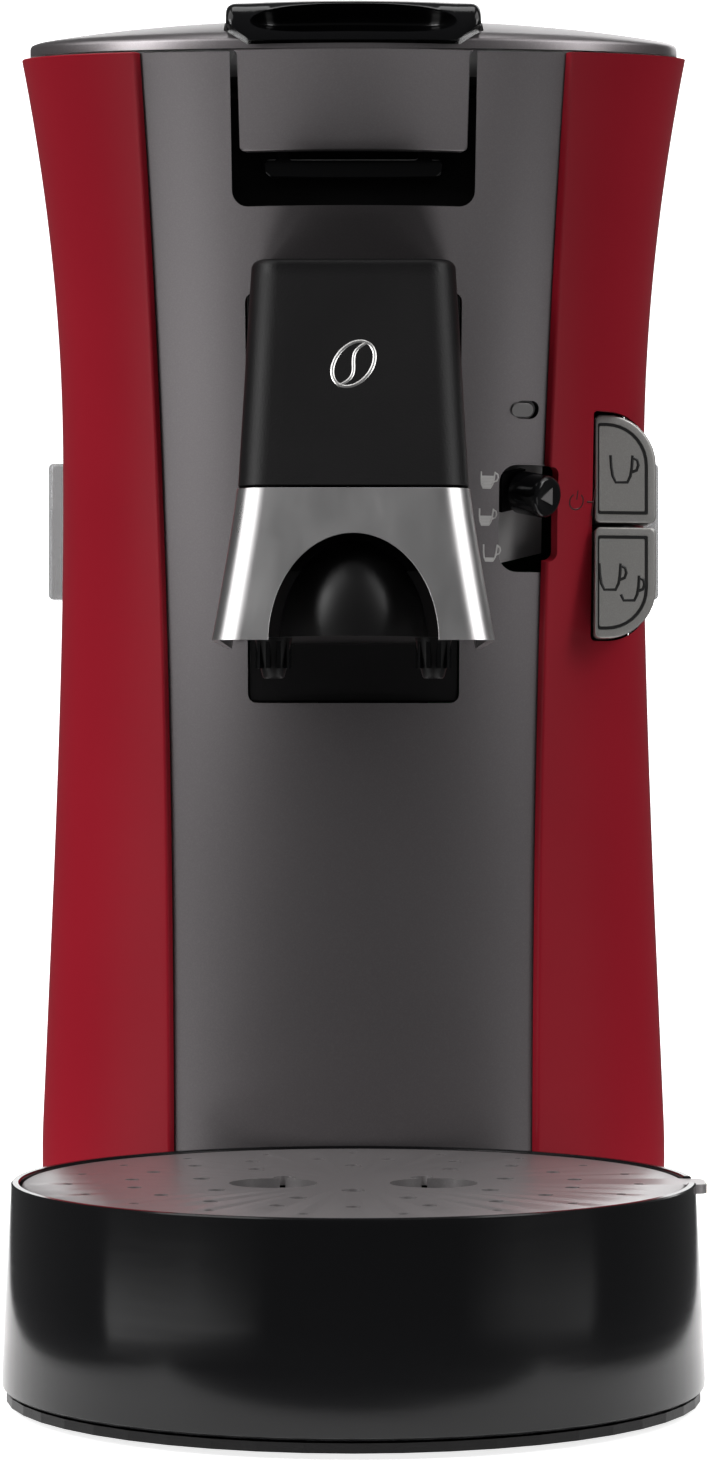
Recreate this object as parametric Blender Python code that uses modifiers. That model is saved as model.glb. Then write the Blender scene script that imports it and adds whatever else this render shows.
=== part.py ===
"""Pod coffee machine: a tall waisted body with a round drip tray in front and a water tank behind.

Metres, +Z up, origin under the middle of the footprint. X is to the right seen from the front,
+Y points to the back.
"""
import math

import bmesh
import bpy
from mathutils import Matrix, Vector

# Gaps and wall thicknesses
GAP = 0.0003
SKIN = 0.0019
SKIN_STEP = 0.0023
WALL = 0.0022

# Body column
WAIST_Z = 0.2125
WAIST_HALF = 0.0682
UPPER_FLARE = 1.02
LOWER_SLOPE = 0.045
LOWER_BLEND = 0.0016
FLARE_END = 0.046
COLUMN_FRONT = 0.0215
LEAN_START = 0.09
LEAN = 0.0595
LEAN_POWER = 2.3
LEAN_SPAN = 0.2
NOSE_LOW = 0.036
NOSE_GROWTH = 0.009
BODY_FLOOR = 0.0036
BODY_TOP_FRONT = 0.2894
BODY_TOP_RISE = 0.0046
BODY_BACK = 0.082
REAR_TOP = 0.2925
SEAM_TOP = 0.0476
SEAM_LOW = 0.0424
SEAM_OVERLAP = 0.0045

# Lid, lever and hinge
LID_INSET = 0.0019
LID_GAP = 0.0006
LID_BAND = 0.0027
LID_CROWN = 0.3012
LID_BACK = 0.0725
LID_CENTRE_Y = 0.018
LID_CORNER = 0.016
HINGE = Vector((0.0, 0.0752, 0.2942))
LEVER_AXIS = Vector((0.0, -0.0115, 0.293))
TONGUE_LOW = 0.2697
TONGUE_SLOT_HALF = 0.0269
TONGUE_SLOT_LOW = 0.2584
HANDLE_HALF = 0.0277
HANDLE_CORNER = 0.0052
CORNER_RISE = 0.0038
HANDLE_LOW = 0.2917
LID_FLATNESS = 3.6

# Brewing
BREW_Y = 0.033
BREW_RADIUS = 0.0345
DECK_TOP = 0.284

# Spout
SPOUT_TOP = 0.2443
SPOUT_SPLIT = 0.1937
SPOUT_LOW = 0.1611
NOZZLE_X = 0.017
NOZZLE_Y = -0.0525
NOZZLE_LOW = 0.1535
DOCK_HALF = 0.0240
DOCK_LOW = 0.1490
DOCK_TOP = 0.2400

# Controls on the right
KNOB_BASE = Vector((0.0385, 0.0159, 0.1970))
KNOB_TURN = math.radians(45)
KNOB_LEAN = 0.27
KNOB_RADIUS = 0.0049
KNOB_LENGTH = 0.0084
SLOT_HALF = 0.0056
LIGHT_TURN = math.radians(21)
BUTTON_LOW = 0.1637
BUTTON_SPLIT = 0.1898
BUTTON_HIGH = 0.2152

# Drip tray
TRAY_Y = -0.0525
TRAY_BASE_RADIUS = 0.0745
TRAY_TOP_RADIUS = 0.0726
TRAY_LOW = 0.0036
TRAY_TOP = 0.0470
TRAY_BACK = 0.0205
COVER_RADIUS = 0.0704
COVER_TOP = 0.0465
COVER_THICK = 0.0020
DRAIN_RADIUS = 0.00935
DRAIN_X = 0.017
DRAIN_Y = -0.0555

# Water tank
TANK_HALF = 0.066
TANK_FRONT = 0.084
TANK_BACK = 0.127
TANK_LOW = 0.014
TANK_TOP = 0.278
GRIP_REACH = 0.0749
GRIP_LOW = 0.1745
GRIP_HIGH = 0.2080
SEAT_Y = 0.1055

# Fineness of the round work
TURN_STEPS = 28
FINE_STEPS = 40
SIDE_LEVELS = 13


def fresh_collection(name):
    """Return a new collection under the scene."""
    collection = bpy.data.collections.new(name)
    bpy.context.scene.collection.children.link(collection)
    return collection


for old in list(bpy.data.objects):
    bpy.data.objects.remove(old, do_unlink=True)
PARTS = fresh_collection("pod_coffee_machine")
CUTTERS = fresh_collection("cutters")


def material(name, colour, roughness, metallic=0.0):
    """Principled material in one plain colour."""
    made = bpy.data.materials.new(name)
    made.use_nodes = True
    shader = made.node_tree.nodes["Principled BSDF"]
    shader.inputs["Base Color"].default_value = (*colour, 1.0)
    shader.inputs["Roughness"].default_value = roughness
    shader.inputs["Metallic"].default_value = metallic
    return made


RED = material("red_gloss", (0.26, 0.010, 0.022), 0.30)
GREY = material("grey_satin", (0.10, 0.092, 0.092), 0.38, 0.5)
BLACK = material("black_gloss", (0.010, 0.010, 0.011), 0.18)
BLACK_SATIN = material("black_satin", (0.012, 0.012, 0.013), 0.42)
CHROME = material("bright_metal", (0.50, 0.49, 0.48), 0.16, 1.0)
BUTTON_GREY = material("button_grey", (0.20, 0.195, 0.19), 0.35, 0.4)
TRAY_GREY = material("tray_cover_grey", (0.17, 0.16, 0.155), 0.30, 0.6)
CLEAR = material("clear_smoke", (0.25, 0.25, 0.25), 0.12)
RUBBER = material("dark_rubber", (0.02, 0.02, 0.02), 0.8)
STEEL = material("steel", (0.45, 0.45, 0.45), 0.30, 1.0)
BOILER_STEEL = material("boiler_steel", (0.55, 0.54, 0.52), 0.35, 1.0)
PALE_HOSE = material("silicone_hose", (0.65, 0.65, 0.62), 0.45)
BOARD_GREEN = material("board_green", (0.02, 0.12, 0.05), 0.5)
LENS = material("lens_grey", (0.45, 0.45, 0.44), 0.25)


def add_object(name, mesh, finish):
    """Link a mesh as a named piece, or as a hidden cutter when it has no finish."""
    piece = bpy.data.objects.new(name, mesh)
    if finish is None:
        CUTTERS.objects.link(piece)
        piece.hide_render = True
        piece.display_type = "WIRE"
        return piece
    PARTS.objects.link(piece)
    mesh.materials.append(finish)
    return piece


def mesh_object(name, shape, finish, smooth=True):
    """Turn a bmesh into an object with its faces pointing out."""
    mesh = bpy.data.meshes.new(name)
    shape.to_mesh(mesh)
    shape.free()
    if smooth:
        mesh.shade_smooth()
        mesh.set_sharp_from_angle(angle=math.radians(35))
    return add_object(name, mesh, finish)


def block(name, low, high, finish=None, bevel=0.0, turn=0.0):
    """A box between two corners, turned about its own upright axis."""
    low = Vector(low)
    high = Vector(high)
    shape = bmesh.new()
    bmesh.ops.create_cube(shape, size=1.0)
    bmesh.ops.scale(shape, vec=high - low, verts=shape.verts)
    piece = mesh_object(name, shape, finish, smooth=False)
    piece.location = (low + high) / 2
    piece.rotation_euler = (0.0, 0.0, turn)
    if bevel:
        rounding = piece.modifiers.new("rounding", "BEVEL")
        rounding.width = bevel
        rounding.segments = 2
    return piece


def rod(name, start, end, radius, finish=None, steps=16, end_radius=None):
    """A round bar or taper between two points."""
    start = Vector(start)
    end = Vector(end)
    along = end - start
    shape = bmesh.new()
    bmesh.ops.create_cone(
        shape, cap_ends=True, segments=steps, radius1=radius,
        radius2=radius if end_radius is None else end_radius, depth=along.length)
    piece = mesh_object(name, shape, finish)
    piece.location = (start + end) / 2
    piece.rotation_euler = along.to_track_quat("Z", "Y").to_euler()
    return piece


def turned(name, profile, centre, finish=None, steps=TURN_STEPS, ring=False):
    """A turned piece: (radius, height) points down its outer side, spun about a vertical axis."""
    shape = bmesh.new()
    corners = [shape.verts.new((radius, 0.0, height)) for radius, height in profile]
    for first, second in zip(corners, corners[1:]):
        shape.edges.new((first, second))
    if ring:
        shape.edges.new((corners[-1], corners[0]))
    piece = mesh_object(name, shape, finish, smooth=False)
    piece.location = centre
    spin = piece.modifiers.new("spin", "SCREW")
    spin.steps = steps
    spin.render_steps = steps
    spin.use_merge_vertices = True
    spin.merge_threshold = 0.00005
    spin.use_smooth_shade = True
    return piece


def prism(name, outline, low, high, finish=None):
    """A flat outline in plan, drawn anticlockwise, raised from one height to another."""
    shape = bmesh.new()
    base = [shape.verts.new((x, y, low)) for x, y in outline]
    floor = shape.faces.new(base)
    raised = bmesh.ops.extrude_face_region(shape, geom=[floor])
    top = [item for item in raised["geom"] if isinstance(item, bmesh.types.BMVert)]
    bmesh.ops.translate(shape, vec=(0.0, 0.0, high - low), verts=top)
    bmesh.ops.recalc_face_normals(shape, faces=shape.faces)
    return mesh_object(name, shape, finish)


def side_profile(name, outline, half, finish=None):
    """An outline in the (Y, Z) plane, carried to both sides by half a width."""
    shape = bmesh.new()
    left = [shape.verts.new((-half, y, z)) for y, z in outline]
    face = shape.faces.new(left)
    carried = bmesh.ops.extrude_face_region(shape, geom=[face])
    right = [item for item in carried["geom"] if isinstance(item, bmesh.types.BMVert)]
    bmesh.ops.translate(shape, vec=(2 * half, 0.0, 0.0), verts=right)
    bmesh.ops.recalc_face_normals(shape, faces=shape.faces)
    return mesh_object(name, shape, finish)


def front_profile(name, outline, front, back):
    """An outline in the (X, Z) plane, carried from its front to its back."""
    shape = bmesh.new()
    near = [shape.verts.new((x, front, z)) for x, z in outline]
    face = shape.faces.new(near)
    carried = bmesh.ops.extrude_face_region(shape, geom=[face])
    far = [item for item in carried["geom"] if isinstance(item, bmesh.types.BMVert)]
    bmesh.ops.translate(shape, vec=(0.0, back - front, 0.0), verts=far)
    bmesh.ops.recalc_face_normals(shape, faces=shape.faces)
    return mesh_object(name, shape, None)


def handle_front(margin):
    """The handle's front view, drawn in at its lower corners, grown by a margin."""
    half = HANDLE_HALF + margin
    low = HANDLE_LOW - margin
    inner = half - HANDLE_CORNER
    shoulder = low + CORNER_RISE
    return [(-inner, low), (inner, low), (half, shoulder), (half, 0.31), (-half, 0.31), (-half, shoulder)]


def loft(name, rows, finish=None):
    """An open skin through rows of points."""
    shape = bmesh.new()
    grid = [[shape.verts.new(point) for point in row] for row in rows]
    for lower, upper in zip(grid, grid[1:]):
        for step in range(len(lower) - 1):
            shape.faces.new((lower[step], lower[step + 1], upper[step + 1], upper[step]))
    return mesh_object(name, shape, finish)


def shell(name, outer, inner, finish=None, domed=False):
    """A wall between matching rows of outer and inner points; a domed one runs all round to a crown."""
    shape = bmesh.new()
    skins = []
    for rows in (outer, inner):
        skins.append([[shape.verts.new(point) for point in row] for row in rows])
    front, back = skins
    count = len(front[0])
    spans = count if domed else count - 1
    for skin in skins:
        for lower, upper in zip(skin, skin[1:]):
            for step in range(spans):
                after = (step + 1) % count
                shape.faces.new((lower[step], lower[after], upper[after], upper[step]))
    rims = [(front[0], back[0])]
    if domed:
        shape.faces.new(front[-1])
        shape.faces.new(back[-1])
    else:
        rims.append((front[-1], back[-1]))
    for row_front, row_back in rims:
        for step in range(spans):
            after = (step + 1) % count
            shape.faces.new((row_front[step], row_front[after], row_back[after], row_back[step]))
    if not domed:
        for edge in (0, -1):
            for level in range(len(front) - 1):
                shape.faces.new((front[level][edge], front[level + 1][edge],
                                 back[level + 1][edge], back[level][edge]))
    bmesh.ops.recalc_face_normals(shape, faces=shape.faces)
    return mesh_object(name, shape, finish)


def thicken(piece, thickness):
    """Give an open skin its wall, on the side away from its outer face."""
    wall = piece.modifiers.new("wall", "SOLIDIFY")
    wall.thickness = thickness
    wall.offset = -1.0
    return piece


def combine(piece, other, operation):
    """Cut another solid from a piece, or join it on."""
    change = piece.modifiers.new(operation.lower(), "BOOLEAN")
    change.operation = operation
    change.object = other
    change.solver = "EXACT"


def cut(piece, *tools):
    """Take every tool away from a piece."""
    for tool in tools:
        combine(piece, tool, "DIFFERENCE")


def join(piece, *extras):
    """Weld every extra solid onto a piece."""
    for extra in extras:
        combine(piece, extra, "UNION")


def smooth_route(points, count=14):
    """Points along a Catmull-Rom curve through a few guide points."""
    guides = [Vector(point) for point in points]
    guides = [2 * guides[0] - guides[1], *guides, 2 * guides[-1] - guides[-2]]
    route = []
    for index in range(1, len(guides) - 2):
        before, start, end, after = guides[index - 1:index + 3]
        for step in range(count // (len(points) - 1)):
            t = step / (count // (len(points) - 1))
            bend = (2 * before - 5 * start + 4 * end - after) * t * t
            twist = (3 * start - before - 3 * end + after) * t * t * t
            route.append(0.5 * (2 * start + (end - before) * t + bend + twist))
    route.append(Vector(points[-1]))
    return route


def hose(name, points, radius, finish):
    """A soft pipe along a smooth route."""
    route = smooth_route(points)
    data = bpy.data.curves.new(name, "CURVE")
    data.dimensions = "3D"
    line = data.splines.new("POLY")
    line.points.add(len(route) - 1)
    for spot, place in zip(line.points, route):
        spot.co = (*place, 1.0)
    data.bevel_depth = radius
    data.bevel_resolution = 2
    data.use_fill_caps = True
    data.materials.append(finish)
    piece = bpy.data.objects.new(name, data)
    PARTS.objects.link(piece)
    return piece


def pivot(name, place, parent=None):
    """An empty on a joint's axis."""
    axis = bpy.data.objects.new(name, None)
    PARTS.objects.link(axis)
    axis.empty_display_size = 0.01
    axis.location = place
    if parent is not None:
        axis.parent = parent
        axis.location = Vector(place) - parent.matrix_world.translation
    bpy.context.view_layer.update()
    return axis


def carry(axis, *pieces):
    """Hang pieces on a joint's empty without moving them."""
    for piece in pieces:
        piece.parent = axis
        piece.matrix_parent_inverse = axis.matrix_world.inverted()


def half_width(z):
    """Half the body's outer width: narrow at the waist, wider above and below it."""
    if z > WAIST_Z:
        return WAIST_HALF + UPPER_FLARE * (z - WAIST_Z) ** 2
    drop = WAIST_Z - max(z, FLARE_END)
    return WAIST_HALF + math.hypot(LOWER_BLEND, LOWER_SLOPE * drop) - LOWER_BLEND


def front_line(z):
    """Y of the grey front at the middle, which leans forward towards the top."""
    rise = max(0.0, z - LEAN_START) / LEAN_SPAN
    return COLUMN_FRONT - LEAN * rise ** LEAN_POWER


def nose(z):
    """Depth of the rounded front, from the flat sides to the front line."""
    growth = min(1.0, max(0.0, (z - 0.2) / 0.09))
    return NOSE_LOW + NOSE_GROWTH * growth


def plan_point(z, angle, inset):
    """A point on the rounded front; angle 0 is the middle and 90 degrees the flat side."""
    across = (half_width(z) - inset) * math.sin(angle)
    depth = (nose(z) + SKIN_STEP - inset) * math.cos(angle)
    return Vector((across, front_line(z) + nose(z) - depth, z))


def top_edge(angle):
    """Height of the body's top edge, which climbs from the front to the sides."""
    return BODY_TOP_FRONT + BODY_TOP_RISE * (1.0 - math.cos(angle))


def seam_angle(z, extra=0.0):
    """Angle at which the red side panel starts."""
    share = (z - BODY_FLOOR) / (BODY_TOP_FRONT - BODY_FLOOR)
    across = SEAM_LOW + (SEAM_TOP - SEAM_LOW) * share ** 2 + extra
    return math.asin(across / half_width(z))


def spread(start, end, count):
    """Evenly spaced numbers, both ends kept."""
    return [start + (end - start) * step / (count - 1) for step in range(count)]


def column_outline(z, inset, back, steps=12):
    """Closed plan of the body at one height, anticlockwise from the back left corner."""
    angles = spread(-math.pi / 2, math.pi / 2, steps)
    points = [plan_point(z, angle, inset) for angle in angles]
    half = half_width(z) - inset
    return [Vector((-half, back, z)), *points, Vector((half, back, z))]


def column_slab(name, low, high, inset, back, finish=None):
    """A flat shelf that fits the body's plan."""
    outline = [(point.x, point.y) for point in column_outline(low, inset, back)]
    return prism(name, outline, low, high, finish)


def rounded_outline(low, high, radius, steps=5):
    """A rectangle in plan with round corners, anticlockwise."""
    corners = (
        (high[0] - radius, high[1] - radius, 0),
        (low[0] + radius, high[1] - radius, 90),
        (low[0] + radius, low[1] + radius, 180),
        (high[0] - radius, low[1] + radius, 270))
    points = []
    for x, y, start in corners:
        for angle in spread(start, start + 90, steps):
            turn = math.radians(angle)
            points.append((x + radius * math.cos(turn), y + radius * math.sin(turn)))
    return points


def capsule_cutter(name, centre, reach, radii):
    """A stretched ball for finger pockets."""
    shape = bmesh.new()
    bmesh.ops.create_uvsphere(shape, u_segments=20, v_segments=10, radius=1.0)
    bmesh.ops.scale(shape, vec=(reach, *radii), verts=shape.verts)
    piece = mesh_object(name, shape, None)
    piece.location = centre
    return piece


def make_base():
    """Base plate under the tray, the body and the tank, on four rubber feet."""
    front = [(TRAY_BASE_RADIUS - 0.0009) * Vector((math.sin(a), -math.cos(a)))
             for a in spread(-math.pi / 2, math.pi / 2, 25)]
    outline = [(point.x, point.y + TRAY_Y) for point in front]
    outline += [(0.070, 0.0), (0.068, 0.110), (0.056, 0.1265)]
    outline += [(-0.056, 0.1265), (-0.068, 0.110), (-0.070, 0.0)]
    plate = prism("base_plate", outline, 0.0013, 0.0033, BLACK_SATIN)
    plinth_plan = rounded_outline((-0.0635, TANK_FRONT), (0.0635, 0.1255), 0.010)
    plinth = prism("tank_plinth", plinth_plan, 0.0030, 0.0136)
    join(plate, plinth)
    well = rod("seat_well", (0.0, SEAT_Y, 0.0033), (0.0, SEAT_Y, 0.02), 0.0098, None, 20)
    hose_way = block("hose_way", (-0.0042, 0.0800, 0.0033), (0.0042, SEAT_Y, 0.0200))
    cable_way = block("cable_way", (-0.0500, 0.0800, 0.0033), (-0.0400, 0.1300, 0.0200))
    cut(plate, well, hose_way, cable_way)
    spots = {"front_left": (-0.042, -0.098), "front_right": (0.042, -0.098),
             "rear_left": (-0.052, 0.108), "rear_right": (0.052, 0.108)}
    for place, (x, y) in spots.items():
        rod("foot_" + place, (x, y, 0.0), (x, y, 0.0010), 0.0065, RUBBER, 14)


def column_rows(first_angle, last_angle, steps, inset):
    """Rows of plan points from the floor to the top edge, between two angles given by height."""
    rows = []
    for share in spread(0.0, 1.0, SIDE_LEVELS):
        rough = BODY_FLOOR + share * (BODY_TOP_FRONT - BODY_FLOOR)
        row = []
        for angle in spread(first_angle(rough), last_angle(rough), steps):
            z = BODY_FLOOR + share * (top_edge(angle) - BODY_FLOOR)
            row.append(plan_point(z, angle, inset))
        rows.append(row)
    return rows


def make_front_panel():
    """Grey front of the column, with its tongue slot, dock hole, knob slot and light hole."""
    skins = []
    for inset in (SKIN_STEP, SKIN_STEP + SKIN):
        skins.append(column_rows(lambda z: -seam_angle(z, SEAM_OVERLAP),
                                 lambda z: seam_angle(z, SEAM_OVERLAP), 19, inset))
    panel = shell("front_panel", *skins, GREY)
    slot = block("tongue_slot", (-TONGUE_SLOT_HALF, -0.06, TONGUE_SLOT_LOW),
                 (TONGUE_SLOT_HALF, 0.0, 0.30))
    dock = block("dock_hole", (-DOCK_HALF - GAP, -0.04, DOCK_LOW - GAP),
                 (DOCK_HALF + GAP, 0.05, DOCK_TOP + GAP))
    lens = block("light_hole", (0.0350, -0.001, 0.2133), (0.0414, 0.022, 0.2173), turn=LIGHT_TURN)
    cut(panel, slot, dock, lens, KNOB_SLOT)


def side_rows(side, inset):
    """Rows of one side wall: round the front corner, then straight to the back."""
    rows = column_rows(seam_angle, lambda z: math.pi / 2, 10, inset)
    for row in rows:
        last = row[-1]
        row.append(Vector((last.x, 0.5 * (last.y + BODY_BACK), last.z)))
        row.append(Vector((last.x, BODY_BACK, last.z)))
    return [[Vector((side * point.x, point.y, point.z)) for point in row] for row in rows]


def make_side_panel(side, name):
    """Red side panel from its bright front edge, round the corner and straight back."""
    panel = shell(name, side_rows(side, 0.0), side_rows(side, SKIN), RED)
    if side > 0:
        window = block("button_window", (0.0551, 0.012, BUTTON_LOW - 0.0005),
                       (0.0760, 0.0465, BUTTON_HIGH + 0.0005))
        cut(panel, window, KNOB_SLOT)


def make_rear_panel():
    """Rear wall between the side panels, with holes for the cable and the tank hose."""
    skins = []
    for y in (BODY_BACK, BODY_BACK - WALL):
        rows = []
        for z in spread(BODY_FLOOR, REAR_TOP, SIDE_LEVELS):
            half = half_width(z) - SKIN - GAP
            rows.append([Vector((half, y, z)), Vector((0.0, y, z)), Vector((-half, y, z))])
        skins.append(rows)
    panel = shell("rear_panel", *skins, BLACK_SATIN)
    cable = rod("cable_hole", (-0.045, 0.07, 0.0092), (-0.045, 0.09, 0.0092), 0.0043)
    feed = rod("feed_hole", (0.0, 0.07, 0.0078), (0.0, 0.09, 0.0078), 0.0036)
    cut(panel, cable, feed)
    gland = rod("cable_gland", (-0.045, 0.0775, 0.0092), (-0.045, 0.0875, 0.0092), 0.0040, RUBBER, 14)
    bore = rod("gland_bore", (-0.045, 0.07, 0.0092), (-0.045, 0.10, 0.0092), 0.0033, None, 12)
    cut(gland, bore)


def make_frame():
    """Inner frame: a floor, a back wall and a shelf for the brew chamber, in one moulding."""
    frame = block("inner_frame", (-0.058, 0.0740, BODY_FLOOR + GAP), (0.058, 0.0767, 0.2800), BLACK_SATIN)
    floor = column_slab("frame_floor", BODY_FLOOR + GAP, 0.0062, 0.0055, 0.0745)
    shelf = column_slab("frame_shelf", 0.2350, 0.2375, 0.0055, 0.0745)
    join(frame, floor, shelf)
    pipe_hole = rod("pipe_hole", (0.0, BREW_Y, 0.22), (0.0, BREW_Y, 0.25), 0.0065)
    front_notch = block("front_notch", (-0.030, -0.05, 0.2300), (0.030, 0.020, 0.2400))
    feed = rod("frame_feed_hole", (0.0, 0.06, 0.0088), (0.0, 0.085, 0.0088), 0.0044)
    hose_hole = block("frame_hose_hole", (-0.058, 0.056, 0.2300), (-0.046, 0.066, 0.2450))
    cut(frame, pipe_hole, front_notch, feed, hose_hole)
    deck = column_slab("top_deck", 0.2810, DECK_TOP, 0.0055, 0.0790, BLACK_SATIN)
    bowl = rod("deck_bowl_hole", (0.0, BREW_Y, 0.27), (0.0, BREW_Y, 0.29),
               BREW_RADIUS + 0.0004, None, FINE_STEPS)
    well = block("deck_well_hole", (-0.0296, -0.06, 0.27), (0.0296, -0.0032, 0.29))
    deck_hose = block("deck_hose_hole", (-0.058, 0.056, 0.27), (-0.046, 0.066, 0.29))
    cut(deck, bowl, well, deck_hose)


def make_latch_well():
    """Black well behind the tongue that the latch bar hangs in, open to the front and the top."""
    well = block("latch_well", (-0.0292, -0.0085, 0.2515), (0.0292, -0.0036, 0.2840), BLACK_SATIN)
    hollow = block("well_hollow", (-0.0278, -0.02, 0.2529), (0.0278, -0.0050, 0.2900))
    cut(well, hollow)


def make_brewing():
    """Brew chamber bowl, the lift-out pod holder in it and the pipe to the spout."""
    outer = BREW_RADIUS
    turned("brew_chamber", [
        (0.0, 0.0425), (outer - WALL, 0.0425), (outer - WALL, 0.0840), (outer, 0.0840),
        (outer, 0.0400), (0.0080, 0.0390), (0.0080, 0.0380), (0.0, 0.0380)],
        (0.0, BREW_Y, 0.2), STEEL, FINE_STEPS)
    turned("pod_holder", [
        (0.0, 0.0665), (0.0235, 0.0665), (0.0290, 0.0700), (0.0290, 0.0832), (0.0312, 0.0832),
        (0.0312, 0.0660), (0.0250, 0.0640), (0.0050, 0.0640), (0.0050, 0.0480), (0.0, 0.0480)],
        (0.0, BREW_Y, 0.2), BLACK_SATIN, FINE_STEPS)
    hose("coffee_outlet_pipe", [
        (0.0, BREW_Y, 0.2376), (0.0, BREW_Y - 0.002, 0.222), (0.0, 0.023, 0.205),
        (0.0, 0.0195, 0.188)], 0.0040, RUBBER)


def spout_front(z):
    """Y of the spout's front face, which leans forward towards the cup."""
    share = (SPOUT_TOP - z) / (SPOUT_TOP - SPOUT_LOW)
    return -0.0400 - 0.0400 * share


def spout_half(z):
    """Half width of the spout, flaring at the bright lower cover."""
    if z >= SPOUT_SPLIT:
        return 0.0221 + 0.0023 * (SPOUT_TOP - z) / (SPOUT_TOP - SPOUT_SPLIT)
    return 0.0246 + 0.0048 * (SPOUT_SPLIT - z) / (SPOUT_SPLIT - SPOUT_LOW)


def spout_row(z, inset=0.0, corner=0.006, height=None):
    """Plan of the spout at one height, from its back left round the front to its back right."""
    half = spout_half(z) - inset
    front = spout_front(z) + inset
    back = front_line(z) - 0.0012
    radius = max(0.0012, corner - inset)
    level = z if height is None else height
    row = [Vector((-half, back, level)), Vector((-half, 0.5 * (front + back), level))]
    for angle in spread(180, 270, 5):
        turn = math.radians(angle)
        row.append(Vector((-half + radius + radius * math.cos(turn),
                           front + radius + radius * math.sin(turn), level)))
    mirrored = [Vector((-point.x, point.y, point.z)) for point in reversed(row)]
    return row + mirrored


def make_spout(axis):
    """Pull-off spout: black upper cover, bright lower cover with its arch, and the body in them."""
    levels = spread(SPOUT_SPLIT + GAP, SPOUT_TOP - 0.0016, 6)
    rows = [spout_row(z) for z in levels]
    rows.append(spout_row(SPOUT_TOP - 0.0016, 0.0012, height=SPOUT_TOP - 0.0004))
    rows.append(spout_row(SPOUT_TOP - 0.0016, 0.0028, height=SPOUT_TOP))
    rows.append(spout_row(SPOUT_TOP - 0.0016, 0.0100, height=SPOUT_TOP))
    rows.append(spout_row(SPOUT_TOP - 0.0016, 0.0195, height=SPOUT_TOP))
    upper = thicken(loft("spout_cover_upper", rows, BLACK_SATIN), 0.0018)
    rows = [spout_row(z) for z in spread(SPOUT_LOW, SPOUT_SPLIT - GAP, 6)]
    lower = thicken(loft("spout_cover_lower", rows, CHROME), 0.0016)
    arch = rod("spout_arch", (0.0, -0.10, SPOUT_LOW), (0.0, -0.05, SPOUT_LOW), 0.0175, None, 32)
    arch.scale = (1.0, 1.27, 1.0)
    cut(lower, arch)
    body = block("spout_body", (-0.0215, -0.0600, SPOUT_LOW + 0.001), (0.0215, 0.0115, 0.1760), BLACK)
    dome = capsule_cutter("spout_dome", (0.0, -0.0560, SPOUT_LOW + 0.001), 0.0160, (0.0160, 0.0205))
    dome_base = block("dome_base", (-0.03, -0.09, 0.12), (0.03, 0.0, SPOUT_LOW + 0.001))
    cut(dome, dome_base)
    inlet = rod("spout_inlet", (0.0, -0.02, 0.174), (0.0, -0.02, 0.186), 0.0080)
    join(body, dome, inlet)
    for side in (-1, 1):
        nozzle = rod("nozzle_cone", (side * NOZZLE_X, NOZZLE_Y, NOZZLE_LOW),
                     (side * NOZZLE_X, NOZZLE_Y, SPOUT_LOW + 0.003), 0.0022, None, 16, 0.0040)
        join(body, nozzle)
        bore = rod("nozzle_bore", (side * NOZZLE_X, NOZZLE_Y, NOZZLE_LOW - 0.002),
                   (side * NOZZLE_X, NOZZLE_Y, SPOUT_LOW + 0.006), 0.0012, None, 10)
        cut(body, bore)
    carry(axis, upper, lower, body)


def make_dock():
    """Black recessed dock in the front panel that the spout slides onto."""
    outline = []
    levels = spread(DOCK_LOW, DOCK_TOP, 7)
    outline += [(front_line(z) + 0.0030, z) for z in levels]
    outline += [(front_line(z) + 0.0052, z) for z in reversed(levels)]
    dock = side_profile("spout_dock", outline, DOCK_HALF, BLACK_SATIN)
    cut(dock, rod("dock_pipe_hole", (0.0, 0.0, 0.183), (0.0, 0.03, 0.183), 0.0055))


def lid_edge(inset):
    """Plan of the lid's rim with the height of the body's top edge, anticlockwise from the back left."""
    side_z = BODY_TOP_FRONT + BODY_TOP_RISE
    half = half_width(side_z) - inset
    radius = LID_CORNER - inset
    back = LID_BACK + LID_INSET - inset
    points = []
    for angle in spread(90, 180, 5):
        turn = math.radians(angle)
        points.append((-half + radius + radius * math.cos(turn),
                       back - radius + radius * math.sin(turn), side_z))
    for angle in spread(-math.pi / 2, math.pi / 2, 19):
        spot = plan_point(top_edge(angle), angle, inset)
        points.append((spot.x, spot.y, spot.z))
    for angle in spread(0, 90, 5):
        turn = math.radians(angle)
        points.append((half - radius + radius * math.cos(turn),
                       back - radius + radius * math.sin(turn), side_z))
    return points


def lid_rows(inset, drop):
    """Rows of the lid from its rim, up the band and over the dome, lowered inside by a drop."""
    edge = lid_edge(inset)
    rows = [[Vector((x, y, z + LID_GAP)) for x, y, z in edge]]
    for share in (1.0, 0.97, 0.88, 0.72, 0.5, 0.25, 0.03):
        row = []
        for x, y, z in edge:
            shoulder = z + LID_GAP + LID_BAND
            height = LID_CROWN - drop - (LID_CROWN - shoulder) * share ** LID_FLATNESS
            row.append(Vector((x * share, LID_CENTRE_Y + (y - LID_CENTRE_Y) * share, height)))
        rows.append(row)
    return rows


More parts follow.
